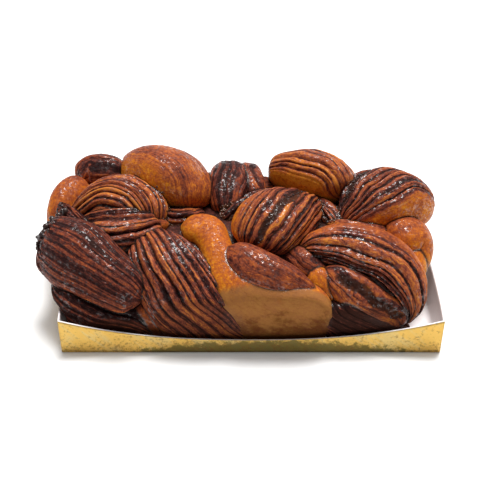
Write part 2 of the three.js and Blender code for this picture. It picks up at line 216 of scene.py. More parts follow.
class Recipe(Graph):
    """A Geometry Nodes tree with named inputs, applied to an object as plain mesh."""

    def __init__(self, name: str) -> None:
        """Start a tree that takes and gives geometry."""
        super().__init__(bpy.data.node_groups.new(name, "GeometryNodeTree"))
        for side in ("INPUT", "OUTPUT"):
            self.tree.interface.new_socket("Geometry", in_out=side, socket_type="NodeSocketGeometry")
        self.entry = self.node("NodeGroupInput")

    def size(self, name: str, kind: str = "Float", default: object = None) -> Socket:
        """Add a named input.

        Args:
            name: the input's name.
            kind: its kind of socket, such as Float or Object.
            default: its value where the piece states none.

        Returns:
            The output of the Group Input node.
        """
        socket = self.tree.interface.new_socket(name, in_out="INPUT", socket_type=f"NodeSocket{kind}")
        if default is not None:
            socket.default_value = default
        return self.entry.outputs[name]

    def trait(self, trait: Trait) -> Socket:
        """Return a number that the mesh keeps for each point, read by geometry nodes."""
        return self.node("GeometryNodeInputNamedAttribute", {"Name": trait.value}).outputs["Attribute"]

    def keep(self, geometry: Source, trait: Trait, value: Source) -> Socket:
        """Store a number for each point, and return the geometry."""
        inputs = {"Geometry": geometry, "Name": trait.value, "Value": value}
        return self.node("GeometryNodeStoreNamedAttribute", inputs).outputs[0]

    def close(self, geometry: Source, material: Source) -> None:
        """End the tree with real geometry that wears a material."""
        real = self.node("GeometryNodeRealizeInstances", {"Geometry": geometry}).outputs[0]
        dressed = self.node("GeometryNodeSetMaterial", {"Geometry": real, "Material": material}).outputs[0]
        self.node("NodeGroupOutput", {0: dressed})

    def apply(self, piece: bpy.types.Object, **values: object) -> None:
        """Replace a piece's mesh by what the tree makes of it.

        Args:
            piece: the object to work on.
            values: the named inputs, with _ for each space.
        """
        modifier = piece.modifiers.new(self.tree.name, "NODES")
        modifier.node_group = self.tree
        sockets = self.tree.interface.items_tree
        names = {item.name: item.identifier for item in sockets if item.in_out == "INPUT"}
        for name, value in values.items():
            modifier[names[name.replace("_", " ")]] = value
        graph = bpy.context.evaluated_depsgraph_get()
        made = bpy.data.meshes.new_from_object(
            piece.evaluated_get(graph), preserve_all_data_layers=True, depsgraph=graph
        )
        piece.modifiers.remove(modifier)
        before, piece.data = piece.data, made
        name = before.name
        bpy.data.meshes.remove(before)
        made.name = name


# ---- mesh helpers ------------------------------------------------------------------------------


def new_mesh(name: str, points: Array, *faces: Faces) -> bpy.types.Mesh:
    """Make a smooth mesh from arrays.

    Args:
        name: the mesh's name.
        points: its vertices, in metres.
        faces: arrays of faces, each with its own number of corners.

    Returns:
        The new mesh.
    """
    mesh = bpy.data.meshes.new(name)
    corners = np.concatenate([part.ravel() for part in faces])
    counts = np.concatenate([np.full(len(part), part.shape[1]) for part in faces])
    mesh.vertices.add(len(points))
    mesh.vertices.foreach_set("co", points.astype(np.float32).ravel())
    mesh.loops.add(len(corners))
    mesh.loops.foreach_set("vertex_index", corners.astype(np.int32))
    mesh.polygons.add(len(counts))
    mesh.polygons.foreach_set("loop_start", (np.cumsum(counts) - counts).astype(np.int32))
    mesh.update(calc_edges=True)
    mesh.shade_smooth()
    return mesh


def add_object(name: str, mesh: bpy.types.Mesh) -> bpy.types.Object:
    """Put a mesh in the scene as an object at the origin."""
    made = bpy.data.objects.new(name, mesh)
    bpy.context.scene.collection.objects.link(made)
    return made


def vertices(mesh: bpy.types.Mesh) -> Array:
    """Return the vertices of a mesh, one a row."""
    points = np.empty(len(mesh.vertices) * 3, np.float32)
    mesh.vertices.foreach_get("co", points)
    return points.reshape(-1, 3)


def keep_trait(mesh: bpy.types.Mesh, trait: Trait, values: Array) -> None:
    """Store a number for each vertex of a mesh."""
    kept = mesh.attributes.new(trait.value, "FLOAT", "POINT")
    kept.data.foreach_set("value", values.astype(np.float32))


def read_trait(mesh: bpy.types.Mesh, trait: Trait) -> Array:
    """Return the number or truth value that each vertex of a mesh keeps."""
    kept = mesh.attributes[trait.value]
    values = np.empty(len(mesh.vertices), bool if kept.data_type == "BOOLEAN" else np.float32)
    kept.data.foreach_get("value", values)
    return values


def discard(piece: bpy.types.Object) -> None:
    """Remove a helper object and its mesh."""
    mesh = piece.data
    bpy.data.objects.remove(piece)
    bpy.data.meshes.remove(mesh)


def new_material(name: str) -> tuple[bpy.types.Material, Graph]:
    """Make an empty material, and the graph to write it in."""
    material = bpy.data.materials.new(name)
    material.use_nodes = True
    material.node_tree.nodes.clear()
    return material, Graph(material.node_tree)


def ring_faces(rings: int, sides: int) -> tuple[Faces, Faces]:
    """Close a grid of rings by a point at each end.

    Args:
        rings: how many rings.
        sides: points in each ring.

    Returns:
        The four-sided faces, and the triangles at the two ends, whose points come last.
    """
    ring, side = np.meshgrid(np.arange(rings - 1), np.arange(sides), indexing="ij")
    here, beside = ring * sides + side, ring * sides + (side + 1) % sides
    quads = np.stack([here, beside, beside + sides, here + sides], -1).reshape(-1, 4)
    spokes, after, base = np.arange(sides), (np.arange(sides) + 1) % sides, (rings - 1) * sides
    start = np.stack([np.full(sides, rings * sides), after, spokes], -1)
    end = np.stack([np.full(sides, rings * sides + 1), base + spokes, base + after], -1)
    return quads, np.vstack([start, end])


def ring_map(mesh: bpy.types.Mesh, rings: int, sides: int, margin: float = 0.004) -> None:
    """Give a mesh of rings a map for its baked colours: sides one way, rings the other.

    Args:
        mesh: a mesh whose faces come from ring_faces.
        rings: how many rings.
        sides: points in each ring.
        margin: left free at each edge of the map.
    """
    corner = np.empty(len(mesh.loops), np.int32)
    mesh.loops.foreach_get("vertex_index", corner)
    quads = (rings - 1) * sides
    body, caps = corner[: quads * 4].reshape(-1, 4), corner[quads * 4 :].reshape(-1, 3)
    across = np.where(body % sides < (body % sides)[:, :1], body % sides + sides, body % sides)
    up = body // sides + 1.0
    spokes = caps[:, 1:] % sides
    middle = spokes.min(1) + np.where(np.ptp(spokes, axis=1) > 1, sides - 0.5, 0.5)
    wide = np.where(spokes < middle[:, None] - 1, spokes + sides, spokes)
    wide = np.hstack([middle[:, None], wide])
    high = np.where(caps[:, :1] == rings * sides, [[0, 1, 1]], [[rings + 1, rings, rings]])
    u = np.concatenate([across.ravel(), wide.ravel()]) / sides
    v = np.concatenate([up.ravel(), high.ravel()]) / (rings + 1)
    layer = mesh.uv_layers.new(name="OFBake")
    places = margin + (1 - 2 * margin) * np.stack([u, v], -1)
    layer.data.foreach_set("uv", places.astype(np.float32).ravel())


# ---- the dough's form --------------------------------------------------------------------------


@dataclass(frozen=True)
class Bake:
    """How a fold of dough came out of the oven."""

    filling: float = 0.5  # share of its cut face that is chocolate filling
    warmth: float = 0.5  # of its cut face, 0 reddish brown, 1 orange
    toast: float = 0.3  # of its cut face, 0 pale, 1 dark
    skin: float = 0.95  # warmth of its whole dough
    matt: float = 0.0  # how far short of the pan's wall it is matt already, in millimetres


@dataclass(frozen=True)
class Fold:
    """One fold of dough.

    Attributes:
        name: the piece's name.
        stations: points along it, (x, y, z, half width, half height) in millimetres.
        bake: its colours.
        layers: cut layers round it, 0 for whole dough.
        relief: how deep the layers are pleated, in millimetres.
        seed: makes its layers uneven.
        cut: the span of the section, in degrees from its outward side, over which layers show.
        fray: how far its first end is torn, in millimetres.
        seam: an open seam of lumpy filling: its middle and half width in degrees, and its depth in
            millimetres.
        outward: the outward side of its section, or None to face away from the loaf's heart.
    """

    name: str
    stations: tuple[tuple[float, float, float, float, float], ...]
    bake: Bake
    layers: int = 0
    relief: float = 1.6
    seed: float = 0.0
    cut: tuple[float, float] = (-180.0, 180.0)
    fray: float = 0.0
    seam: tuple[float, float, float] = (0.0, 1.0, 0.0)
    outward: tuple[float, float, float] | None = None


def uneven(index: Array, seed: float) -> Array:
    """Return a repeatable number from 0 to 1 for each index."""
    value = np.sin(index * 12.9898 + seed * 78.233) * 43758.5453
    return value - np.floor(value)


def wave(share: Array) -> Array:
    """Return the sine of a share of a turn."""
    return np.sin(2 * math.pi * share)


def ease(value: Array, low: float, high: float) -> Array:
    """Return a smooth step of a value, from 0 at `low` to 1 at `high`."""
    share = np.clip((value - low) / (high - low), 0.0, 1.0)
    return share * share * (3 - 2 * share)


def along_spline(points: Array, t: Array) -> Array:
    """Follow a uniform Catmull-Rom spline.

    Args:
        points: its control points, one a row.
        t: places along it, from 0 to 1.

    Returns:
        One row for each place.
    """
    ends = np.vstack([2 * points[0] - points[1], points, 2 * points[-1] - points[-2]])
    place = np.clip(t, 0.0, 1.0) * (len(points) - 1)
    first = np.minimum(place.astype(int), len(points) - 2)
    share = (place - first)[:, None]
    before, here, there, after = (ends[first + step] for step in range(4))
    leave, arrive = (there - before) / 2, (after - here) / 2
    cubic = 2 * here - 2 * there + leave + arrive
    square = -3 * here + 3 * there - 2 * leave - arrive
    return ((cubic * share + square) * share + leave) * share + here


@dataclass(frozen=True)
class Pan:
    """The loaf pan: dough that swelled past a wall is pressed back towards it. Millimetres."""

    ends: tuple[float, float] = (-97.5, 89.5)  # x of its end walls at the floor
    sides: tuple[float, float] = (-55.0, 55.0)  # y of its side walls at the floor
    end_lean: float = 0.36  # how far the end walls lean out for each millimetre up
    side_lean: float = 0.13
    give: float = 3.0  # how far dough can push past a wall
    free_give: float = 60.0  # the same above the rim
    end_rim: float = 20.0  # height of the rim where an end wall lets go
    side_rim: float = 48.0
    rim_blend: float = 16.0  # height over which a wall lets go
    floor: float = 1.1  # height of the card that the dough lies on
    contact: float = 1.4  # depth of pressing that leaves the dough matt all over

    def _between(
        self, value: Array, walls: tuple[float, float], lean: float, rim: float, z: Array, matt: float
    ) -> tuple[Array, Array]:
        """Press one coordinate between two walls, and say how hard it was pressed."""
        spread = lean * np.clip(z, 0.0, rim + self.rim_blend)
        free = ease(z, rim, rim + self.rim_blend)
        give = self.give * (self.free_give / self.give) ** free
        past = np.maximum(value - walls[1] - spread, walls[0] - spread - value)
        over_high = np.maximum(value - walls[1] - spread, 0.0)
        over_low = np.maximum(walls[0] - spread - value, 0.0)
        value = value - over_high + give * (1 - np.exp(-over_high / give))
        value = value + over_low - give * (1 - np.exp(-over_low / give))
        return value, np.clip((past + matt) / self.contact, 0.0, 1.0) * (1 - free)

    def press(self, points: Array, matt: float = 0.0) -> tuple[Array, Array]:
        """Press dough into the pan.

        Args:
            points: places in millimetres, with x, y and z last.
            matt: how far short of a wall the dough is matt already.

        Returns:
            The pressed places, and from 0 to 1 how firmly each lay against the pan.
        """
        x, y, z = points[..., 0], points[..., 1], points[..., 2]
        x, on_end = self._between(x, self.ends, self.end_lean, self.end_rim, z, matt)
        y, on_side = self._between(y, self.sides, self.side_lean, self.side_rim, z, matt)
        return np.stack([x, y, np.maximum(z, self.floor)], -1), np.maximum(on_end, on_side)


@dataclass
class Sweep:
    """The surface of one fold, as a grid of rings closed by a point at each end."""

    fold: Fold
    pan: Pan = Pan()
    ring_step: float = 0.8  # millimetres between rings
    layer_steps: int = 8  # sides for each cut layer
    plain_sides: int = 120  # sides of whole dough
    end_rounding: float = 0.16  # share of the fold that is rounded off at each end
    squareness: float = 2.3  # exponent of its section, 2 for an ellipse
    wander: float = 0.22  # how far its layers stray round it, in layers
    torn_share: float = 0.3  # share of the fold over which a torn end fades
    heart: tuple[float, float, float] = (-70.0, 62.0, 14.0)  # from x, to x, height
    traits: dict[Trait, Array] = field(default_factory=dict)

    def _frames(self, t: Array) -> tuple[Array, Array, Array, Array]:
        """Return the centre, tangent, outward and sideways direction of each ring."""
        places = np.array([station[:3] for station in self.fold.stations], float)
        centre = along_spline(places, t)
        tangent = along_spline(places, t + 1e-3) - along_spline(places, t - 1e-3)
        tangent /= np.linalg.norm(tangent, axis=1, keepdims=True)
        near = np.stack([np.clip(centre[:, 0], *self.heart[:2]), 0 * t, 0 * t + self.heart[2]], -1)
        outward = centre - near if self.fold.outward is None else np.array([self.fold.outward] * len(t))
        outward = outward - (outward * tangent).sum(1, keepdims=True) * tangent
        outward /= np.linalg.norm(outward, axis=1, keepdims=True)
        return centre, tangent, outward, np.cross(tangent, outward)

    @staticmethod
    def _ridge(layer: Array, peak: float = 0.62) -> Array:
        """Return the profile of overlapping layers: 0 in each groove, 1 on each crest."""
        share = layer - np.floor(layer)
        rise = np.sin(math.pi / 2 * np.minimum(share / peak, 1.0))
        fall = np.cos(math.pi / 2 * np.clip((share - peak) / (1 - peak), 0.0, 1.0))
        return np.where(share < peak, rise, fall)

    def _pleats(self, share: Array, t: Array) -> Array:
        """Work out the cut layers, and keep what they show as traits.

        Args:
            share: the place of each point round the fold, from -0.5 to 0.5.
            t: the place of each ring along it, from 0 to 1.

        Returns:
            How far each point lies above or below the plain surface, in millimetres.
        """
        fold = self.fold
        t = t[:, None] + 0 * share
        drift = 0.15 * wave(1.6 * t + fold.seed + 0.8 * share)
        drift = drift + 0.07 * wave(4.1 * t + 2.3 * fold.seed + 3 * share)
        swell = 0.25 * wave(3 * share + 2.9 * fold.seed) + 0.12 * wave(5 * share + 1.3 * fold.seed)
        layer = (fold.layers or 24) * share + drift + swell
        number, part = np.floor(layer), layer - np.floor(layer)
        low, high = fold.cut
        degrees = 360 * share
        cut = 1 / (1 + np.exp((low - degrees) / 4)) / (1 + np.exp((degrees - high) / 4))
        shown = cut * (fold.layers > 0)
        cut = shown * min(1.0, 0.3 + fold.relief / 2)
        crest = self._ridge(layer)
        reach = 0.05 + fold.bake.filling * (0.15 + 1.1 * uneven(number, fold.seed + 3) ** 2)
        reach_next = 0.05 + fold.bake.filling * (0.15 + 1.1 * uneven(number + 1, fold.seed + 3) ** 2)
        filling = np.maximum(1 - ease(part / reach, 0.5, 1.2), 1 - ease((1 - part) / reach_next, 0.5, 1.2))
        fade = 0.75 + 0.25 * wave(1.3 * t + uneven(number, fold.seed + 2))
        fine = 0.6 * (0.5 + 0.8 * uneven(number, fold.seed)) * fade * (crest - 1)
        pleat = 0.75 * (0.6 + 0.7 * uneven(np.floor(layer / 2), fold.seed + 5)) * (self._ridge(layer / 2) - 1)
        gape = ease(uneven(np.round(layer), fold.seed + 7), 0.72, 0.95) * ease(t, 0.1, 0.35)
        gape = gape * (1 - ease(t, 0.65, 0.9)) * np.exp(-((layer - np.round(layer)) / 0.16) ** 2)
        middle, spread, depth = fold.seam
        stray = 0.35 * spread * (wave(1.7 * t + fold.seed) + 0.6 * wave(4.3 * t))
        seam = np.exp(-(((degrees - middle - stray) / spread) ** 4)) * (depth > 0)
        seam = seam * ease(t, 0.05, 0.25) * (1 - ease(t, 0.75, 0.95))
        self.traits = {
            Trait.LAYER: layer + 40 * fold.seed,
            Trait.CHANNEL: seam,
            Trait.CREST: 1 - (1 - crest) * cut * min(1.0, 0.25 + fold.relief / 2),
            Trait.CUT: cut,
            Trait.FILLING: filling * cut,
            Trait.WARMTH: fold.bake.skin + (fold.bake.warmth - fold.bake.skin) * shown,
            Trait.TOAST: fold.bake.toast * (0.3 + 0.7 * shown),
        }
        return fold.relief * cut * (1 - seam) * (fine + pleat - 1.2 * gape) - depth * seam

    def grid(self) -> Array:
        """Work out the fold's surface, as places in millimetres by ring and side."""
        fold = self.fold
        places = np.array([station[:3] for station in fold.stations], float)
        girths = np.array([station[3:] for station in fold.stations], float)
        length = np.linalg.norm(np.diff(places, axis=0), axis=1).sum()
        rings = max(12, round(length / self.ring_step))
        even = np.arange(1, rings + 1) / (rings + 1)
        t = (even + 0.5 - 0.5 * np.cos(math.pi * even)) / 2
        centre, tangent, outward, sideways = self._frames(t)
        rounding = np.clip(np.minimum(t, 1 - t) / self.end_rounding, 0.0, 1.0)
        round_end = np.sqrt(1 - (1 - rounding) ** 2)[:, None]
        half = along_spline(girths, t) * round_end

        sides = fold.layers * self.layer_steps or self.plain_sides
        share = (np.arange(sides) / sides - 0.5)[None, :] + 0 * t[:, None]
        stray = wave(3 * share + fold.seed) + 0.7 * wave(5 * share + 1.7 * fold.seed + t[:, None] / 2)
        angle = 2 * math.pi * (share + self.wander / max(fold.layers, 12) * stray)
        power = 2 / self.squareness
        up = np.sign(np.cos(angle)) * np.abs(np.cos(angle)) ** power
        across = np.sign(np.sin(angle)) * np.abs(np.sin(angle)) ** power

        relief = self._pleats(share, t) * round_end
        surface = centre[:, None] + outward[:, None] * (up * (half[:, 1:] + relief))[..., None]
        surface = surface + sideways[:, None] * (across * (half[:, :1] + relief))[..., None]
        ragged = uneven(np.floor(self.traits[Trait.LAYER]), fold.seed + 9) - 0.35
        torn = fold.fray * ragged * (1 - ease(t, 0.0, self.torn_share))[:, None]
        surface, pressed = self.pan.press(surface - tangent[:, None] * torn[..., None], fold.bake.matt)
        self.traits[Trait.PAN] = pressed
        self.traits[Trait.ALONG] = (t * length * MM)[:, None] + 0 * share
        return surface

    def closed(self) -> tuple[Array, Faces, Faces]:
        """Return the vertices of the closed surface in metres, its quads and its triangles."""
        surface = self.grid()
        points = np.vstack([surface.reshape(-1, 3), surface[[0, -1]].mean(axis=1)]) * MM
        return points, *ring_faces(*surface.shape[:2])

    def mesh(self) -> bpy.types.Mesh:
        """Make the closed mesh of the fold, with its traits and its bake map."""
        mesh = new_mesh(self.fold.name, *self.closed())
        for trait, values in self.traits.items():
            keep_trait(mesh, trait, np.append(values, values[[0, -1]].mean(axis=1)))
        ring_map(mesh, *self.traits[Trait.PAN].shape)
        return mesh


FOLDS = (
    # front row, from left to right
    Fold(
        "front_left_sheaf",
        ((-121, -16, 45, 13, 11), (-114, -20, 44, 19, 14), (-98, -30, 42, 22, 18),
         (-81, -41, 37, 17, 16), (-67, -46, 31, 14, 14), (-61, -49, 28, 8, 8)),
        Bake(0.5, 0.2, 0.4), layers=40, relief=0.6, seed=1.3, fray=7,
    ),
    Fold(
        "front_left_tip",
        ((-114, 6, 56, 2.5, 3), (-109, -1, 54, 6, 6), (-97, -17, 50, 8, 7), (-83, -31, 43, 6, 5)),
        Bake(0.6, 0.2, 0.5), layers=12, seed=1.9, fray=5,
    ),
    Fold(
        "front_left_lip",
        ((-120, -12, 52, 3, 3), (-115, -13, 52, 7, 6), (-105, -17, 50, 8, 7), (-93, -23, 44, 6, 6)),
        Bake(0.7, 0.15, 0.5), layers=10, seed=2.9, fray=5,
    ),
    Fold(
        "front_left_nub",
        ((-126, -20, 46, 3, 3), (-121, -20, 49, 7, 6), (-111, -23, 48, 7, 7)),
        Bake(0.8, 0.15, 0.7), layers=10, seed=5.3, fray=3,
    ),
    Fold(
        "front_left_foot",
        ((-116, -36, 31, 6, 7), (-107, -40, 22, 16, 13), (-88, -45, 12, 18, 14), (-67, -49, 8, 15, 13),
         (-55, -53, 6, 9, 9)),
        Bake(0.5, 0.15, 0.7), layers=22, relief=1.2, seed=2.1,
    ),
    Fold(
        "front_foot_gusset",
        ((-64, -44, 26, 7, 7), (-58, -46, 16, 12, 11), (-48, -46, 7, 12, 10), (-38, -44, 3, 8, 8)),
        Bake(0.3, 0.4, 0.7, skin=0.4),
    ),
    Fold(
        "front_second_twist",
        ((-63, -12, 43, 10, 8), (-56, -26, 43, 18, 15), (-47, -37, 37, 22, 18), (-34, -48, 24, 24, 17),
         (-16, -54, 10, 22, 15), (0, -57, 3, 12, 9)),
        Bake(0.45, 0.52, 0.3, skin=0.0), layers=30, relief=1.4, seed=3.2, cut=(-180, 62),
    ),
    Fold(
        "front_whole_dough",
        ((-42, -1, 43, 6, 7), (-34, -5, 45, 11, 10), (-26, -10, 45, 12, 11), (-21, -19, 44, 10, 11),
         (-17, -31, 40, 11, 13), (-6, -48, 30, 19, 15), (12, -53, 20, 24, 16), (31, -54, 15, 25, 16),
         (45, -54, 9, 20, 12)),
        Bake(0.3, 0.9, 0.1, skin=1.1, matt=5.0),
    ),
    Fold(
        "front_spindle",
        ((-15, -28, 46, 3, 3), (-7, -36, 47, 10, 9), (5, -45, 45, 12, 11), (19, -49, 42, 10, 9),
         (30, -52, 38, 6, 5), (37, -54, 35, 2, 2)),
        Bake(0.4, 0.42, 0.2, skin=0.5), layers=20, relief=0.3, seed=1,
    ),
    Fold(
        "front_right_arch",
        ((27, -26, 46, 4, 4), (38, -26, 48, 10, 10), (54, -27, 48, 15, 13), (72, -32, 44, 17, 15),
         (84, -40, 36, 16, 14), (90, -46, 24, 11, 11), (91, -51, 12, 5, 5)),
        Bake(0.5, 0.35, 0.3, skin=0.8), layers=22, relief=2.2, seed=5.1, cut=(-30, 180),
    ),
    Fold(
        "front_right_root",
        ((22, -22, 42, 5, 5), (30, -32, 42, 9, 8), (39, -37, 36, 8, 8), (44, -43, 30, 5, 5)),
        Bake(0.7, 0.2, 0.5), layers=10, relief=0.8, seed=6.1,
    ),
    Fold(
        "front_right_wedge",
        ((34, -36, 40, 4, 4), (39, -43, 38, 7, 6), (45, -47, 33, 6, 6), (50, -49, 28, 4, 4)),
        Bake(0.3, 0.95, 0.1),
    ),
    Fold(
        "front_right_under",
        ((41, -39, 42, 6, 6), (52, -44, 36, 11, 11), (66, -48, 28, 13, 12), (80, -50, 20, 11, 11),
         (89, -51, 12, 6, 6)),
        Bake(0.7, 0.4, 0.5, skin=0.5), layers=14, relief=0.8, seed=6.1, cut=(-180, 30), seam=(-16, 15, 1.6),
    ),
    Fold(
        "front_right_foot",
        ((42, -46, 28, 6, 6), (50, -51, 20, 15, 13), (68, -53, 10, 16, 13), (86, -53, 6, 9, 9),
         (91, -53, 4, 4, 4)),
        Bake(0.7, 0.1, 0.9), layers=18, seed=7.3,
    ),
    # middle
    Fold(
        "middle_left_arch",
        ((-103, 12, 36, 10, 8), (-97, 13, 46, 17, 14), (-85, 13, 52, 20, 18), (-73, 10, 53, 20, 18),
         (-63, 4, 50, 16, 15), (-57, -3, 43, 9, 9)),
        Bake(0.35, 0.7, 0.1), layers=28, relief=2.0, seed=4.4, cut=(-180, 105),
    ),
    Fold(
        "middle_left_under",
        ((-106, -3, 38, 6, 6), (-93, -9, 45, 14, 13), (-78, -13, 47, 17, 16), (-65, -10, 47, 15, 15),
         (-54, -4, 45, 9, 9)),
        Bake(0.45, 0.55, 0.2), layers=26, relief=1.8, seed=4.6,
    ),
    Fold(
        "middle_left_hem",
        ((-84, -28, 43, 5, 5), (-76, -23, 46, 7, 7), (-66, -14, 49, 7, 7), (-57, -6, 49, 5, 5),
         (-49, 1, 46, 3, 3)),
        Bake(0.3, 0.4, 0.4, skin=0.5),
    ),
    Fold(
        "middle_left_crevice",
        ((-56, 14, 42, 6, 6), (-46, 7, 46, 9, 8), (-36, 10, 44, 8, 8), (-28, 16, 41, 5, 5)),
        Bake(0.5, 0.35, 0.4), layers=12, seed=4.7,
    ),
    Fold(
        "middle_shell",
        ((33, 24, 42, 12, 9), (26, 9, 50, 19, 15), (16, -6, 53, 22, 18),
         (6, -17, 50, 20, 16), (0, -24, 42, 11, 9)),
        Bake(0.35, 0.65, 0.15), layers=28, seed=8.2, cut=(-180, 45), seam=(-12, 6, 1.6),
    ),
    Fold(
        "middle_bridge",
        ((-18, 6, 44, 7, 6), (-6, 14, 47, 9, 8), (8, 24, 48, 9, 8), (22, 32, 46, 6, 6)),
        Bake(0.7, 0.2, 0.6), layers=12, seed=1.7,
    ),
    Fold(
        "middle_right_bridge",
        ((34, 4, 32, 8, 7), (50, -6, 38, 15, 12), (68, -10, 39, 16, 13), (86, -6, 34, 12, 10)),
        Bake(0.5, 0.4, 0.4), layers=16, seed=5.7,
    ),
    Fold(
        "middle_crevice",
        ((30, 24, 42, 7, 7), (40, 18, 45, 9, 9), (49, 8, 45, 9, 8), (58, -4, 41, 6, 6)),
        Bake(0.5, 0.4, 0.4), layers=12, seed=4.1,
    ),
    # back row, from left to right
    Fold(
        "back_left_end",
        ((-118, 7, 30, 8, 8), (-119, 18, 41, 10, 10), (-115, 29, 47, 11, 11), (-106, 43, 49, 9, 9)),
        Bake(0.3, 0.75, 0.3, skin=0.72),
    ),
    Fold(
        "back_left_bud",
        ((-112, 50, 46, 7, 8), (-102, 54, 50, 12, 12), (-90, 51, 51, 13, 12), (-80, 46, 46, 7, 8)),
        Bake(0.35, 0.25, 0.4), layers=12, relief=0.8, seed=2.6,
    ),
    Fold(
        "back_left_dome",
        ((-76, 54, 48, 13, 10), (-65, 47, 55, 20, 16), (-49, 36, 58, 25, 18), (-40, 26, 52, 22, 16),
         (-37, 18, 43, 13, 11)),
        Bake(0.15, 0.58, 0.1, skin=1.0), layers=30, relief=0.3, seed=9.1, cut=(-180, 84),
    ),
    Fold(
        "back_bud",
        ((-14, 56, 46, 9, 8), (-13, 48, 51, 13, 11), (-13, 34, 52, 13, 12), (-14, 22, 48, 11, 11),
         (-15, 13, 42, 7, 7)),
        Bake(0.3, 0.2, 0.55), layers=16, relief=0.8, seed=3.7,
    ),
    Fold(
        "back_small_bud",
        ((-2, 56, 46, 6, 6), (-1, 50, 51, 8, 9), (1, 38, 49, 9, 10), (3, 28, 44, 8, 8)),
        Bake(0.2, 0.35, 0.35), layers=12, relief=0.8, seed=2.9,
    ),
    Fold(
        "back_right_dome",
        ((14, 55, 49, 10, 10), (26, 49, 54, 16, 13), (40, 41, 57, 19, 16), (52, 34, 55, 19, 15),
         (58, 25, 48, 13, 12)),
        Bake(0.2, 0.8, 0.05, skin=1.15), layers=24, relief=1.1, seed=6.6, cut=(-180, 102),
    ),
    Fold(
        "right_fan",
        ((56, 0, 42, 7, 7), (64, 5, 48, 14, 12), (73, 13, 51, 22, 17), (86, 23, 52, 25, 18),
         (101, 28, 45, 20, 15), (107, 34, 38, 9, 9)),
        Bake(0.6, 0.3, 0.45, skin=0.8), layers=34, seed=7.7, cut=(-180, 58), seam=(-32, 11, 2.0),
    ),
    Fold(
        "right_shoulder",
        ((79, -8, 37, 8, 8), (90, -6, 40, 13, 13), (99, -4, 36, 13, 12), (101, -13, 26, 11, 10),
         (99, -25, 15, 8, 8), (92, -38, 8, 5, 5)),
        Bake(0.3, 0.8, 0.7, skin=0.84),
    ),
    # lower back, from left to right
    Fold(
        "low_back_left",
        ((-48, 46, 5, 8, 8), (-68, 47, 14, 15, 13), (-88, 43, 24, 17, 14),
         (-104, 35, 34, 13, 10), (-110, 28, 38, 5, 5)),
        Bake(0.55, 0.35, 0.5), layers=18, seed=3.3,
    ),
    Fold(
        "low_back_twist",
        ((-72, 44, 50, 8, 7), (-60, 48, 38, 18, 14), (-48, 50, 24, 20, 15),
         (-36, 50, 11, 20, 14), (-26, 50, 3, 12, 10)),
        Bake(0.5, 0.6, 0.35), layers=22, seed=4.9,
    ),
    Fold(
        "low_back_whole_dough",
        ((-34, 38, 50, 7, 7), (-22, 45, 42, 15, 13), (-6, 49, 28, 19, 14),
         (10, 50, 12, 21, 13), (24, 50, 3, 14, 10)),
        Bake(0.3, 0.85, 0.15),
    ),
    Fold(
        "low_back_spindle",
        ((-8, 42, 46, 3, 3), (6, 48, 42, 9, 8), (22, 50, 34, 10, 9), (36, 51, 26, 4, 4)),
        Bake(0.45, 0.35, 0.35), layers=16, relief=0.6, seed=2.2,
    ),
    Fold(
        "low_back_second_twist",
        ((24, 42, 50, 7, 7), (36, 48, 40, 16, 14), (48, 50, 26, 19, 15),
         (58, 50, 12, 19, 13), (66, 50, 3, 12, 9)),
        Bake(0.55, 0.55, 0.35), layers=22, seed=5.9,
    ),
    Fold(
        "low_back_right",
        ((70, 36, 48, 8, 8), (80, 42, 36, 15, 13), (84, 46, 20, 16, 12), (82, 48, 6, 11, 9)),
        Bake(0.6, 0.35, 0.45), layers=18, seed=6.9,
    ),
    # the two ends
    Fold(
        "right_end_upper",
        ((94, 36, 30, 6, 6), (98, 22, 31, 13, 10), (99, 2, 30, 15, 10), (97, -18, 27, 13, 10),
         (93, -32, 25, 6, 6)),
        Bake(0.3, 0.85, 0.2),
    ),
    Fold(
        "right_end_lower",
        ((84, 34, 10, 7, 7), (88, 14, 12, 13, 10), (89, -10, 12, 13, 10), (86, -34, 10, 8, 8)),
        Bake(0.5, 0.35, 0.4), layers=16, relief=0.8, seed=1.4,
    ),
    Fold(
        "left_end_upper",
        ((-108, -26, 34, 6, 6), (-114, -8, 34, 14, 10), (-115, 10, 34, 14, 10), (-109, 26, 32, 8, 7)),
        Bake(0.65, 0.3, 0.5), layers=20, seed=8.9,
    ),
    Fold(
        "left_end_lower",
        ((-93, -34, 10, 8, 8), (-97, -12, 12, 13, 10), (-97, 12, 12, 13, 10), (-93, 32, 10, 8, 8)),
        Bake(0.6, 0.3, 0.5), layers=16, relief=0.8, seed=6.3,
    ),
    # inside: the hearts are dark all over, painted shade for where they show deep in the crevices
    Fold(
        "lower_heart",
        ((-98, 0, 16, 36, 14), (-84, 0, 17, 49, 15.5), (0, 0, 17, 51, 16),
         (74, 0, 17, 49, 15.5), (89, 0, 16, 36, 14)),
        Bake(skin=-0.3), outward=(0, 0, 1),
    ),
    Fold(
        "upper_heart",
        ((-98, 0, 28, 26, 12), (-76, 0, 29, 44, 17), (0, 0, 29, 46, 18),
         (68, 0, 29, 44, 17), (92, 0, 28, 28, 12)),
        Bake(skin=-0.3), outward=(0, 0, 1),
    ),
)


# ---- finishes ----------------------------------------------------------------------------------


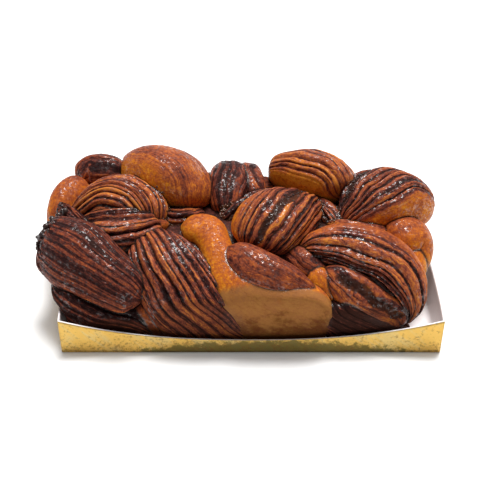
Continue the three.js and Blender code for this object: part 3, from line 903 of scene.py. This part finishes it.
@dataclass(frozen=True)
class GlazedCrust:
    """Baked dough in chocolate and golden layers, glossy with syrup where the pan didn't touch it, with
    painted shade in its grooves, its creases and low down.
    """

    tones: tuple[tuple[float, Colour], ...] = (
        (0.0, (0.020, 0.006, 0.006)),
        (0.18, (0.060, 0.016, 0.013)),
        (0.36, (0.140, 0.032, 0.018)),
        (0.54, (0.265, 0.058, 0.020)),
        (0.72, (0.430, 0.105, 0.018)),
        (0.88, (0.570, 0.165, 0.010)),
        (1.0, (0.690, 0.260, 0.024)),
    )
    cut_tones: tuple[tuple[float, Colour], ...] = (
        (0.0, (0.016, 0.005, 0.006)),
        (0.2, (0.052, 0.014, 0.013)),
        (0.4, (0.150, 0.036, 0.024)),
        (0.58, (0.285, 0.066, 0.030)),
        (0.76, (0.430, 0.115, 0.034)),
        (1.0, (0.600, 0.200, 0.030)),
    )
    # near black: painted shade in the grooves between layers, over the filling's own dark there, and at the
    # foot of the loaf
    shade_black: Colour = (0.006, 0.002, 0.002)
    lumps: Colour = (0.026, 0.009, 0.006)
    pan_tan: Colour = (0.275, 0.122, 0.042)
    pan_brown: Colour = (0.085, 0.028, 0.013)
    # dark syrup pooled where folds meet, also painted shade in those creases
    syrup: Colour = (0.012, 0.006, 0.004)
    brightness: float = 0.45  # its tone before all that follows
    warming: float = 0.46  # tone that warmth adds
    toasting: float = 0.22  # tone that toast takes off
    darkening: float = 0.34  # tone that filling takes off
    chance: float = 0.34  # how much the tone varies from layer to layer
    streaks: float = 1.70  # how much it varies in long streaks
    fibres: float = 1.80  # in short ones
    blotches: float = 0.70  # in patches of a few millimetres
    specks: float = 0.95
    grains: float = 0.45
    roughness: float = 0.48
    shine: float = 0.10
    shine_tint: Colour = (1.0, 0.62, 0.42)
    glaze: float = 0.9  # how much syrup lies on the glossiest parts
    glaze_roughness: float = 0.12
    glaze_index: float = 1.7
    crumb_depth: float = 0.0008  # of its fine relief, in metres
    glaze_depth: float = 0.0006

    def _tone(self, g: Graph, place: Socket) -> tuple[Socket, Socket]:
        """Work out where each point lies between dark filling and orange dough.

        Args:
            g: the material's graph.
            place: the place of the point.

        Returns:
            The tone, and the fine streaks in it.
        """
        along, cut = g.trait(Trait.ALONG), g.trait(Trait.CUT)
        stray = g.total(g.about(g.noise(place, 55.0, 2.0), 1.6), g.about(g.noise(place, 260.0, 3.0), 0.7))
        layer = g.total(g.trait(Trait.LAYER), stray)
        number = g.math("FLOOR", layer)
        chance = g.node("ShaderNodeTexWhiteNoise", {"W": number}, noise_dimensions="1D").outputs["Value"]
        streak = g.noise(g.vector(g.product(layer, 3.6), g.product(along, 30.0), 1.0), 1.0, 5.0, 0.7)
        fibre = g.noise(g.vector(g.product(layer, 9.0), g.product(along, 110.0), 5.0), 1.0, 4.0, 0.7)
        blotch = g.noise(place, 90.0, 5.0, 0.65)
        grain = g.noise(place, 900.0, 4.0, 0.65)
        speck = g.noise(place, 420.0, 4.0, 0.7)
        stripes = g.total(
            g.about(chance, self.chance), g.about(streak, self.streaks), g.about(fibre, self.fibres)
        )
        stripes = g.product(stripes, g.total(0.22, g.product(cut, 0.78)))
        facing_up = g.ease(g.trait(Trait.SKY), 0.25, 0.95)
        toasted = g.product(facing_up, g.total(0.06, g.product(g.rest(cut), 0.16)))
        warmth = g.product(g.trait(Trait.WARMTH), self.warming)
        base = g.total(warmth, self.brightness, g.product(g.trait(Trait.TOAST), -self.toasting))
        filled = g.ease(g.total(g.trait(Trait.FILLING), g.about(fibre, 0.9)), 0.25, 0.7)
        filling = g.product(filled, -self.darkening)
        tone = g.total(
            base, stripes, filling, g.about(blotch, self.blotches), g.about(speck, self.specks),
            g.about(grain, self.grains), g.product(toasted, -1.0),
        )
        return tone, g.total(g.product(streak, 0.5), g.product(fibre, 0.5))

    def build(self) -> bpy.types.Material:
        """Write the material.

        Returns:
            A material that reads the traits of a fold's mesh.
        """
        material, g = new_material("glazed_crust")
        place = g.place()
        height = g.node("ShaderNodeSeparateXYZ", {0: place}).outputs["Z"]
        layer, along = g.trait(Trait.LAYER), g.trait(Trait.ALONG)
        cut, pan, channel = g.trait(Trait.CUT), g.trait(Trait.PAN), g.trait(Trait.CHANNEL)
        tone, fibres = self._tone(g, place)
        cloud = g.noise(place, 60.0, 3.0)
        grain = g.noise(place, 1100.0, 3.0, 0.65)
        colour = g.blend(cut, g.ramp(tone, self.tones), g.ramp(tone, self.cut_tones))

        strokes = g.noise(g.vector(layer, g.product(along, 60.0), 9.0), 2.0, 5.0, 0.65)
        scuffs = g.total(g.product(strokes, 0.45), g.product(g.noise(place, 150.0, 6.0, 0.75), 0.55))
        # Towards the floor the pan colour turns to pan_brown: low is painted shade there, added to the real
        # scuffs in worn.
        low = g.rest(g.ease(g.total(height, g.about(cloud, 0.03)), 0.004, 0.030))
        worn = g.total(scuffs, g.product(low, 0.32), g.product(g.rest(g.trait(Trait.WARMTH)), 0.34))
        dull = g.blend(g.ease(worn, 0.45, 0.68), self.pan_tan, self.pan_brown)
        share = g.product(pan, g.total(0.28, g.product(g.rest(cut), 0.54)), g.ease(cloud, 0.14, 0.34))
        colour = g.blend(share, colour, dull)
        # Grooves between layers: the filling's own dark, deepened to near black with painted shade.
        groove_shade = g.rest(g.ease(g.total(g.trait(Trait.CREST), g.about(fibres, 0.3)), 0.06, 0.56))
        colour = g.blend(g.product(groove_shade, 0.9), colour, self.shade_black)
        lumpy = g.ease(g.total(channel, g.about(grain, 0.8)), 0.3, 0.8)
        colour = g.blend(g.product(lumpy, 0.9), colour, self.lumps)
        # Darker towards the floor: painted shade at the foot of the loaf.
        foot = g.rest(g.ease(g.total(height, g.about(cloud, 0.012)), 0.002, 0.032))
        colour = g.blend(g.product(foot, 0.55), colour, self.shade_black)
        # Where folds meet: dark syrup pooled in the crease, and painted shade there.
        crease_syrup_and_shade = g.ease(g.total(g.trait(Trait.CREASE), g.about(grain, 0.5)), 0.4, 0.95)
        crease_syrup_and_shade = g.product(crease_syrup_and_shade, g.rest(g.product(pan, 0.9)))
        colour = g.blend(g.product(crease_syrup_and_shade, 0.92), colour, self.syrup)

        free = g.rest(g.ease(pan, 0.0, 0.6))
        flecks = g.noise(place, 480.0, 3.0, 0.6)
        gloss = g.product(free, g.ease(g.total(g.product(cloud, 0.5), g.about(flecks, 1.7)), 0.28, 0.48))
        gloss = g.product(gloss, g.total(0.68, g.product(cut, 0.32)))
        gloss = g.math("MAXIMUM", gloss, g.product(crease_syrup_and_shade, 0.9))
        rough = g.total(g.product(grain, 0.5), g.product(fibres, cut, 1.1))
        drops = g.total(flecks, g.product(fibres, cut, 0.4))
        g.surface(
            {
                "Base Color": colour,
                "Roughness": g.total(self.roughness, g.product(pan, 0.25), g.about(grain, 0.3)),
                "Specular IOR Level": self.shine,
                "Specular Tint": self.shine_tint,
                "Coat Weight": g.product(gloss, self.glaze),
                "Coat Roughness": self.glaze_roughness,
                "Coat IOR": self.glaze_index,
                "Normal": g.bump(rough, 0.8, self.crumb_depth),
                "Coat Normal": g.bump(drops, 0.9, self.glaze_depth),
            }
        )
        return material


@dataclass(frozen=True)
class GoldFoil:
    """Thin gold foil pressed on card, creased and mottled, with painted reflections: paler patches along its
    creases, and the dark ground low on its walls.
    """

    gold: Colour = (0.76, 0.47, 0.10)
    # paler gold: painted reflections in the foil's creases
    pale: Colour = (0.70, 0.50, 0.17)
    rust: Colour = (0.22, 0.10, 0.020)
    painted_ground_reflection: Colour = (0.115, 0.095, 0.018)
    reflection_height: float = 0.0085  # of the painted reflection of the dark ground, in metres, where it is highest
    reflection_spread: float = 0.080  # half its length
    reflection_middle: float = 0.012
    metallic: float = 0.6
    roughness: float = 0.42
    crease_depth: float = 0.0008  # in metres

    def build(self) -> bpy.types.Material:
        """Write the material."""
        material, g = new_material("gold_foil")
        place = g.place()
        x, _, z = g.node("ShaderNodeSeparateXYZ", {0: place}).outputs
        cloud = g.noise(place, 70.0, 3.0)
        mottle = g.noise(place, 230.0, 3.0, 0.55)
        fleck = g.noise(place, 800.0, 4.0, 0.7)
        slant = g.noise(g.vector(g.product(g.total(x, z), 380.0), g.product(z, 60.0), 0.0), 1.0, 3.0)
        # Paler patches along the slanting creases: painted reflections in the foil.
        colour = g.blend(g.ease(g.total(cloud, g.about(slant, 0.7)), 0.42, 0.66), self.gold, self.pale)
        # Low on the walls: painted reflection of the dark ground in the foil.
        off = g.math("DIVIDE", g.math("SUBTRACT", x, self.reflection_middle), self.reflection_spread)
        edge = g.product(g.rest(g.product(off, off)), self.reflection_height)
        above = g.total(z, g.about(mottle, 0.013), g.about(fleck, 0.007), g.product(edge, -1.0))
        colour = g.blend(g.product(g.rest(g.ease(above, -0.0016, 0.0016)), 0.85), colour, self.painted_ground_reflection)
        low = g.rest(g.ease(z, 0.0, 0.020))
        stains = g.noise(place, 560.0, 3.0, 0.6)
        spots = g.ease(g.total(stains, g.about(mottle, 0.5), g.product(low, 0.08)), 0.54, 0.76)
        colour = g.blend(g.product(spots, 0.6), colour, self.rust)
        creases = g.total(mottle, g.product(slant, 0.8))
        g.surface(
            {
                "Base Color": colour,
                "Metallic": self.metallic,
                "Roughness": g.total(self.roughness, g.about(fleck, 0.3)),
                "Normal": g.bump(creases, 0.5, self.crease_depth),
            }
        )
        return material


@dataclass(frozen=True)
class WhiteCard:
    """The bare card inside the tray and at its cut edge."""

    card: Colour = (0.94, 0.88, 0.87)
    worn: Colour = (0.86, 0.77, 0.75)
    roughness: float = 0.6
    fibre_depth: float = 0.0002  # in metres

    def build(self) -> bpy.types.Material:
        """Write the material."""
        material, g = new_material("white_card")
        place = g.place()
        fibre = g.noise(place, 700.0, 5.0, 0.6)
        cloud = g.noise(place, 40.0)
        colour = g.blend(g.ease(g.total(cloud, g.about(fibre, 0.4)), 0.5, 0.8), self.card, self.worn)
        g.surface(
            {
                "Base Color": colour,
                "Roughness": g.total(self.roughness, g.about(fibre, 0.2)),
                "Normal": g.bump(fibre, 0.2, self.fibre_depth),
            }
        )
        return material


@dataclass(frozen=True)
class Wet:
    """A dark, wet finish of one colour: chocolate filling or syrup."""

    name: str
    colour: Colour
    roughness: float
    coat: float
    shine: float = 0.3
    coat_roughness: float = 0.1

    def build(self) -> bpy.types.Material:
        """Write the material."""
        material, g = new_material(self.name)
        place = g.place()
        cloud = g.noise(place, 500.0, 3.0)
        dark = tuple(0.5 * part for part in self.colour)
        g.surface(
            {
                "Base Color": g.blend(g.ease(cloud, 0.35, 0.65), self.colour, dark),
                "Roughness": g.total(self.roughness, g.about(cloud, 0.2)),
                "Specular IOR Level": self.shine,
                "Coat Weight": self.coat,
                "Coat Roughness": self.coat_roughness,
            }
        )
        return material


# ---- the pieces --------------------------------------------------------------------------------


@dataclass
class Loaf:
    """The whole loaf, one piece for each fold of dough."""

    folds: tuple[Fold, ...] = FOLDS
    reach: float = 0.0021  # how far from another fold a crease still shows, in metres
    grain: float = 0.00014  # height of the fine grain
    strand: float = 0.00035  # height of the strands along the layers
    lump: float = 0.0006  # height of the lumps in the filling
    swell: float = 0.0007  # height of the slow swell of the dough
    clearance: float = 0.0002  # above the dough, where the look for a covering fold starts
    sight: float = 0.06  # how far it looks

    def recipe(self) -> Recipe:
        """Write the tree that gives a fold its rough skin and finds where other folds touch it."""
        r = Recipe("baked_skin")
        neighbours = r.size("Neighbours", "Object")
        reach, grain = r.size("Reach", default=self.reach), r.size("Grain", default=self.grain)
        strand, lump = r.size("Strand", default=self.strand), r.size("Lump", default=self.lump)
        swell, material = r.size("Swell", default=self.swell), r.size("Material", "Material")
        others = r.node("GeometryNodeObjectInfo", {"Object": neighbours}).outputs["Geometry"]
        place = r.node("GeometryNodeInputPosition").outputs[0]
        normal = r.node("GeometryNodeInputNormal").outputs[0]
        near = r.node("GeometryNodeProximity", {0: others}, target_element="FACES").outputs["Distance"]
        crease = r.rest(r.math("DIVIDE", near, reach))
        above = r.scaled(normal, self.clearance)
        start = r.node("ShaderNodeVectorMath", {0: place, 1: above}, operation="ADD").outputs[0]
        ray = {
            "Target Geometry": others, "Source Position": start, "Ray Direction": normal,
            "Ray Length": self.sight,
        }
        buried = r.node("GeometryNodeRaycast", ray).outputs["Is Hit"]
        skin = r.keep(r.entry.outputs["Geometry"], Trait.CREASE, r.math("MAXIMUM", crease, 0.0))
        skin = r.keep(skin, Trait.BURIED, buried)
        skin = r.keep(skin, Trait.SKY, r.node("ShaderNodeSeparateXYZ", {0: normal}).outputs["Z"])
        run = r.vector(r.product(r.trait(Trait.LAYER), 2.2), r.product(r.trait(Trait.ALONG), 38.0), 1.0)
        cut, free = r.trait(Trait.CUT), r.rest(r.product(r.trait(Trait.PAN), 0.7))
        height = r.total(
            r.product(r.about(r.noise(place, 800.0, 3.0), 2.0), grain),
            r.product(r.about(r.noise(run, 1.0, 4.0, 0.6), 2.0), strand, cut),
            r.product(r.about(r.noise(place, 420.0, 3.0), 2.0), lump, r.trait(Trait.FILLING)),
            r.product(r.about(r.noise(place, 330.0, 3.0), 5.0), lump, r.trait(Trait.CHANNEL)),
            r.product(r.about(r.noise(place, 75.0, 2.0), 2.0), swell),
        )
        offset = r.scaled(normal, r.product(height, free))
        skin = r.node("GeometryNodeSetPosition", {"Geometry": skin, "Offset": offset}).outputs[0]
        r.close(skin, material)
        return r

    def _neighbours(self, fold: Fold, coarse: dict[str, tuple[Array, Faces, Faces]]) -> bpy.types.Object:
        """Join the folds that come near one fold into a helper object."""
        own = coarse[fold.name][0]
        low, high = own.min(0) - 2 * self.reach, own.max(0) + 2 * self.reach
        points, quads, caps, count = [], [], [], 0
        for name, (places, four, three) in coarse.items():
            apart = (places.max(0) < low).any() or (places.min(0) > high).any()
            if name != fold.name and not apart:
                points.append(places)
                quads.append(four + count)
                caps.append(three + count)
                count += len(places)
        mesh = new_mesh("neighbours", np.vstack(points), np.vstack(quads), np.vstack(caps))
        return add_object("neighbours", mesh)

    def build(self, crust: bpy.types.Material) -> list[bpy.types.Object]:
        """Make every fold.

        Args:
            crust: the finish of the dough.

        Returns:
            The folds, as finished pieces.
        """
        recipe = self.recipe()
        coarse = {
            fold.name: Sweep(fold, ring_step=2.4, layer_steps=4, plain_sides=48).closed()
            for fold in self.folds
        }
        pieces = []
        for fold in self.folds:
            inside = fold.outward is not None
            sweep = Sweep(fold, ring_step=3.0, plain_sides=64) if inside else Sweep(fold)
            piece = add_object(fold.name, sweep.mesh())
            helper = self._neighbours(fold, coarse)
            thin = min(min(station[3:]) for station in fold.stations[1:-1]) * MM
            recipe.apply(piece, Neighbours=helper, Material=crust, Reach=min(self.reach, 0.25 * thin))
            discard(helper)
            self._rest_on_card(piece)
            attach(piece, "root")
            pieces.append(piece)
            LOG.info("%s: %d faces", piece.name, len(piece.data.polygons))
        for piece in pieces:
            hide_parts("babka_loaf")
        return pieces

    @staticmethod
    def _rest_on_card(piece: bpy.types.Object) -> None:
        """Keep a fold above the card that it lies on."""
        points = vertices(piece.data)
        points[:, 2] = np.maximum(points[:, 2], Pan().floor * MM)
        piece.data.vertices.foreach_set("co", points.ravel())
        piece.data.update()


@dataclass(frozen=True)
class Spread:
    """Where one kind of morsel lies, and how large it is."""

    name: str
    count: int
    radius: tuple[float, float]  # smallest and largest, in metres
    roundness: float  # 1 for drops, less for rough lumps
    seed: int
    needs: dict[Trait, tuple[float, float]]  # traits of the crust under it, each from a value to a value
    height: float = 0.0  # lowest height, in metres
    near: tuple[tuple[float, float, float], ...] = ()  # x, y and radius of patches, in metres
    overlap: float = 0.15  # of its radius, how far morsels lie past a patch
    is_syrup: bool = False  # or chocolate


@dataclass
class Morsels:
    """Lumps and crumbs of filling, torn shreds and drops of syrup on the loaf, one piece for each kind."""

    spreads: tuple[Spread, ...] = (
        Spread(
            "filling_lumps", 170, (0.00030, 0.00085), 0.3, 5,
            {Trait.CHANNEL: (0.45, 1.1), Trait.BURIED: (-0.1, 0.1)},
        ),
        Spread(
            "torn_shreds", 46, (0.0010, 0.0027), 0.1, 9, {Trait.BURIED: (-0.1, 0.1)}, height=0.043,
            near=((-0.113, -0.006, 0.009), (-0.120, -0.017, 0.008)),
        ),
        Spread(
            "filling_crumbs", 420, (0.00022, 0.00055), 0.3, 6,
            {
                Trait.FILLING: (0.6, 1.1), Trait.CREST: (-0.1, 0.45), Trait.SKY: (0.1, 1.1),
                Trait.BURIED: (-0.1, 0.1),
            },
            height=0.030,
        ),
        Spread(
            "syrup_drops", 300, (0.00022, 0.00085), 1.0, 7,
            {Trait.CREASE: (0.02, 1.1), Trait.SKY: (0.1, 1.1), Trait.BURIED: (-0.1, 0.1)},
            height=0.036,
            near=(
                (-0.045, 0.010, 0.013), (0.044, 0.006, 0.012), (-0.018, 0.008, 0.010),
                (0.048, 0.026, 0.010),
            ),
            is_syrup=True,
        ),
    )
    turn: float = 6.28  # largest turn about each axis, in radians
    thin: tuple[float, float, float] = (0.65, 0.65, 0.5)  # smallest stretch of a rough lump
    thick: tuple[float, float, float] = (1.3, 1.1, 1.0)  # largest
    drop: tuple[float, float, float] = (1.0, 1.0, 0.7)  # shape of a drop
    dents: float = 0.0011  # depth of the dents in a rough lump, in metres

    def recipe(self) -> Recipe:
        """Write the tree that puts a rough or round morsel at each point of a mesh."""
        r = Recipe("morsels")
        roundness, seed = r.size("Roundness", default=0.5), r.size("Seed", "Int", 1)
        material = r.size("Material", "Material")
        ball = r.node("GeometryNodeMeshUVSphere", {"Segments": 8, "Rings": 6, "Radius": 1.0}).outputs["Mesh"]
        whirl = r.node("FunctionNodeRandomValue", {"Seed": seed}, data_type="FLOAT_VECTOR")
        whirl.inputs[1].default_value = (self.turn, self.turn, self.turn)
        stretch = r.node("FunctionNodeRandomValue", {"Seed": r.total(seed, 1.0)}, data_type="FLOAT_VECTOR")
        stretch.inputs[0].default_value = self.thin
        stretch.inputs[1].default_value = self.thick
        radius = r.trait(Trait.RADIUS)
        shapes = {0: roundness, 4: stretch.outputs[0], 5: self.drop}
        shape = r.node("ShaderNodeMix", shapes, data_type="VECTOR").outputs[1]
        inputs = {
            "Points": r.entry.outputs["Geometry"], "Instance": ball,
            "Rotation": whirl.outputs[0], "Scale": r.scaled(shape, radius),
        }
        many = r.node("GeometryNodeInstanceOnPoints", inputs).outputs[0]
        many = r.node("GeometryNodeRealizeInstances", {"Geometry": many}).outputs[0]
        place = r.node("GeometryNodeInputPosition").outputs[0]
        normal = r.node("GeometryNodeInputNormal").outputs[0]
        dent = r.product(r.about(r.noise(place, 1400.0, 2.0), self.dents), r.rest(roundness))
        dented = {"Geometry": many, "Offset": r.scaled(normal, dent)}
        many = r.node("GeometryNodeSetPosition", dented).outputs[0]
        r.close(r.node("GeometryNodeSetShadeSmooth", {"Geometry": many}).outputs[0], material)
        return r

    @staticmethod
    def _places(spread: Spread, pieces: list[bpy.types.Object], draw: np.random.Generator) -> Array:
        """Draw places on the crust that suit one kind of morsel."""
        found = []
        for piece in pieces:
            points = vertices(piece.data)
            fits = points[:, 2] > spread.height
            for trait, (low, high) in spread.needs.items():
                values = read_trait(piece.data, trait)
                fits &= (values >= low) & (values <= high)
            if spread.near:
                x, y = points[:, 0], points[:, 1]
                apart = [np.hypot(x - at_x, y - at_y) / reach for at_x, at_y, reach in spread.near]
                fits &= draw.random(len(points)) > np.min(apart, axis=0) - spread.overlap
            found.append(points[fits])
        places = np.vstack(found).astype(float)
        return places[draw.permutation(len(places))[: spread.count]]

    def build(
        self, pieces: list[bpy.types.Object], chocolate: bpy.types.Material, syrup: bpy.types.Material
    ) -> None:
        """Scatter every kind.

        Args:
            pieces: the folds of the loaf.
            chocolate: the finish of the lumps, shreds and crumbs.
            syrup: the finish of the drops.
        """
        recipe = self.recipe()
        for spread in self.spreads:
            draw = np.random.default_rng(spread.seed)
            places = self._places(spread, pieces, draw)
            mesh = bpy.data.meshes.new(spread.name)
            mesh.vertices.add(len(places))
            mesh.vertices.foreach_set("co", places.astype(np.float32).ravel())
            low, high = spread.radius
            radii = low + (high - low) * draw.random(len(places)) ** 2
            keep_trait(mesh, Trait.RADIUS, radii)
            piece = add_object(spread.name, mesh)
            finish = syrup if spread.is_syrup else chocolate
            recipe.apply(piece, Roundness=spread.roundness, Seed=spread.seed, Material=finish)
            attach(piece, "root")
            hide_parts("babka_loaf")
            LOG.info("%s: %d of them, %d faces", piece.name, len(places), len(piece.data.polygons))


@dataclass
class Tray:
    """The low card tray: gold foil outside, white card inside and at its cut edge. Millimetres."""

    length: float = 218.0
    depth: float = 125.0
    card: float = 0.8
    corner_height: float = 23.0
    front_height: float = 9.0
    end_height: float = 20.0
    end_bow: float = 3.2
    dip: float = 2.4  # exponent of the curve of the rim
    step: float = 1.6  # between points along the rim
    crumple: float = 0.25  # depth of the creases in the foil
    floor_rings: int = 24
    wall_rings: int = 12
    hub: float = 0.04  # share of the floor's size where its rings start

    def _outline(self) -> Array:
        """Return x and y at the floor, x at the rim, and the rim's height, all the way round."""
        half_x, half_y = self.length / 2, self.depth / 2
        corners = [(-half_x, -half_y), (half_x, -half_y), (half_x, half_y), (-half_x, half_y)]
        columns = []
        for index, start in enumerate(corners):
            end = corners[(index + 1) % 4]
            on_end = index % 2 == 1
            count = round(math.dist(start, end) / self.step)
            share = np.arange(count) / count
            middle = 1 - np.abs(2 * share - 1) ** self.dip
            low = self.end_height if on_end else self.front_height
            x, y = (start[axis] + (end[axis] - start[axis]) * share for axis in (0, 1))
            bow = (self.end_bow if index == 1 else -self.end_bow) * middle * on_end
            rim = self.corner_height + (low - self.corner_height) * middle
            columns.append(np.stack([x, y, x + bow, rim]))
        return np.hstack(columns)

    def build(self, foil: bpy.types.Material, card: bpy.types.Material) -> bpy.types.Object:
        """Make the tray.

        Args:
            foil: the finish outside and underneath.
            card: the finish inside and at the cut edge.

        Returns:
            The tray, as one finished piece.
        """
        x, y, rim_x, rim = self._outline()
        in_x, in_y = 1 - 2 * self.card / self.length, 1 - 2 * self.card / self.depth
        floor_rings, wall_rings = self.floor_rings, self.wall_rings
        rings = []
        for share in np.linspace(self.hub, 1, floor_rings):
            rings.append(np.stack([x * share, y * share, 0 * x], -1))
        for share in np.linspace(0, 1, wall_rings)[1:]:
            rings.append(np.stack([x + (rim_x - x) * share, y, rim * share], -1))
        for share in np.linspace(1, 0, wall_rings):
            height = self.card + (rim - self.card) * share
            rings.append(np.stack([(x + (rim_x - x) * share) * in_x, y * in_y, height], -1))
        for share in np.linspace(1, self.hub, floor_rings)[1:]:
            rings.append(np.stack([x * in_x * share, y * in_y * share, 0 * x + self.card], -1))
        surface = np.stack(rings)
        outer = slice(floor_rings - 1, floor_rings + wall_rings - 1)
        surface[outer] = self._crumpled(surface[outer])
        count, sides = surface.shape[:2]
        poles = np.array([[0, 0, 0], [0, 0, self.card]])
        points = np.vstack([surface.reshape(-1, 3), poles]) * MM
        quads, caps = ring_faces(count, sides)
        mesh = new_mesh("tray", points, quads, caps)
        mesh.materials.append(foil)
        mesh.materials.append(card)
        inside = np.ones(len(mesh.polygons), np.int32)
        inside[: (floor_rings + wall_rings - 2) * sides] = 0
        inside[len(quads) : len(quads) + sides] = 0
        mesh.polygons.foreach_set("material_index", inside)
        piece = add_object("tray", mesh)
        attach(piece, "root")
        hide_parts("card_tray")
        LOG.info("%s: %d faces", piece.name, len(mesh.polygons))
        return piece

    def _crumpled(self, wall: Array) -> Array:
        """Press shallow creases into the outside of the wall."""
        x, y, z = wall[..., 0], wall[..., 1], wall[..., 2]
        run = x + y
        crease = np.sin(0.31 * run + 0.9 * z) * np.sin(0.17 * run - 0.6 * z + 1.3)
        crease = crease + np.sin(0.83 * run + 0.4 * z)
        fade = np.sin(np.linspace(0, math.pi, len(wall)))[:, None]
        depth = self.crumple * 0.5 * np.abs(crease) * fade
        long_side = (np.abs(y) > self.depth / 2 - 0.01)[..., None]
        outward = np.where(long_side, [0, 1, 0], [1, 0, 0]) * np.sign(wall)
        return wall - outward * depth[..., None]


@dataclass(frozen=True)
class Sun:
    """One soft, distant light. Degrees."""

    name: str
    energy: float
    angle: float  # how wide it is
    turn: tuple[float, float]  # about x and about y


@dataclass
class Studio:
    """The pale floor, the soft light and the camera."""

    eye: tuple[float, float, float] = (-0.0063, -0.4473, 0.3483)
    tilt: float = 35.0  # degrees down
    focal: float = 893.0  # in pixels of the frame
    frame_width: int = 480  # in pixels
    sensor: float = 36.0  # in millimetres
    floor_reach: float = 60.0  # half its width
    floor_gap: float = 0.0004  # below the tray
    fill: float = 0.22  # brightness of the white room
    suns: tuple[Sun, ...] = (Sun("key", 2.1, 60, (-20, 5)), Sun("spark", 3.0, 20, (-18, 6)))

    def build(self) -> None:
        """Set the camera, the lights and the floor."""
        scene = bpy.context.scene
        camera = bpy.data.cameras.new("camera")
        camera.sensor_width = self.sensor
        camera.lens = self.sensor * self.focal / self.frame_width
        camera.clip_start = 0.01
        holder = bpy.data.objects.new("camera", camera)
        holder.location = self.eye
        holder.rotation_euler = (math.radians(90 - self.tilt), 0.0, 0.0)
        scene.collection.objects.link(holder)
        scene.camera = holder
        scene.view_settings.view_transform = "Standard"
        self._lights(scene)
        self._floor()

    def _lights(self, scene: bpy.types.Scene) -> None:
        """Light the loaf from high up with soft suns and a white room."""
        world = bpy.data.worlds.new("white_room")
        scene.world = world
        world.use_nodes = True
        background = world.node_tree.nodes["Background"].inputs
        background["Color"].default_value = (1.0, 1.0, 1.0, 1.0)
        background["Strength"].default_value = self.fill
        for sun in self.suns:
            light = bpy.data.lights.new(sun.name, "SUN")
            light.energy = sun.energy
            light.angle = math.radians(sun.angle)
            holder = bpy.data.objects.new(sun.name, light)
            holder.rotation_euler = (math.radians(sun.turn[0]), math.radians(sun.turn[1]), 0.0)
            scene.collection.objects.link(holder)

    def _floor(self) -> None:
        """Lay the pale floor that the tray stands on."""
        corners = self.floor_reach * np.array([[-1, -1, 0], [1, -1, 0], [1, 1, 0], [-1, 1, 0]], float)
        corners[:, 2] = -self.floor_gap
        floor = add_object("floor", new_mesh("floor", corners, np.array([[0, 1, 2, 3]])))
        material, g = new_material("pale_floor")
        g.surface({"Base Color": (0.92, 0.92, 0.92), "Roughness": 0.9})
        floor.data.materials.append(material)


def main() -> None:
    """Build the studio, the loaf and its tray."""
    logging.basicConfig(level=logging.INFO, format="%(message)s")
    Studio().build()
    folds = Loaf().build(GlazedCrust().build())
    chocolate = Wet("chocolate_filling", (0.036, 0.012, 0.007), 0.5, coat=0.35)
    syrup = Wet("syrup", (0.140, 0.060, 0.030), 0.2, coat=0.8)
    Morsels().build(folds, chocolate.build(), syrup.build())
    Tray().build(GoldFoil().build(), WhiteCard().build())


if __name__ == "__main__":
    main()
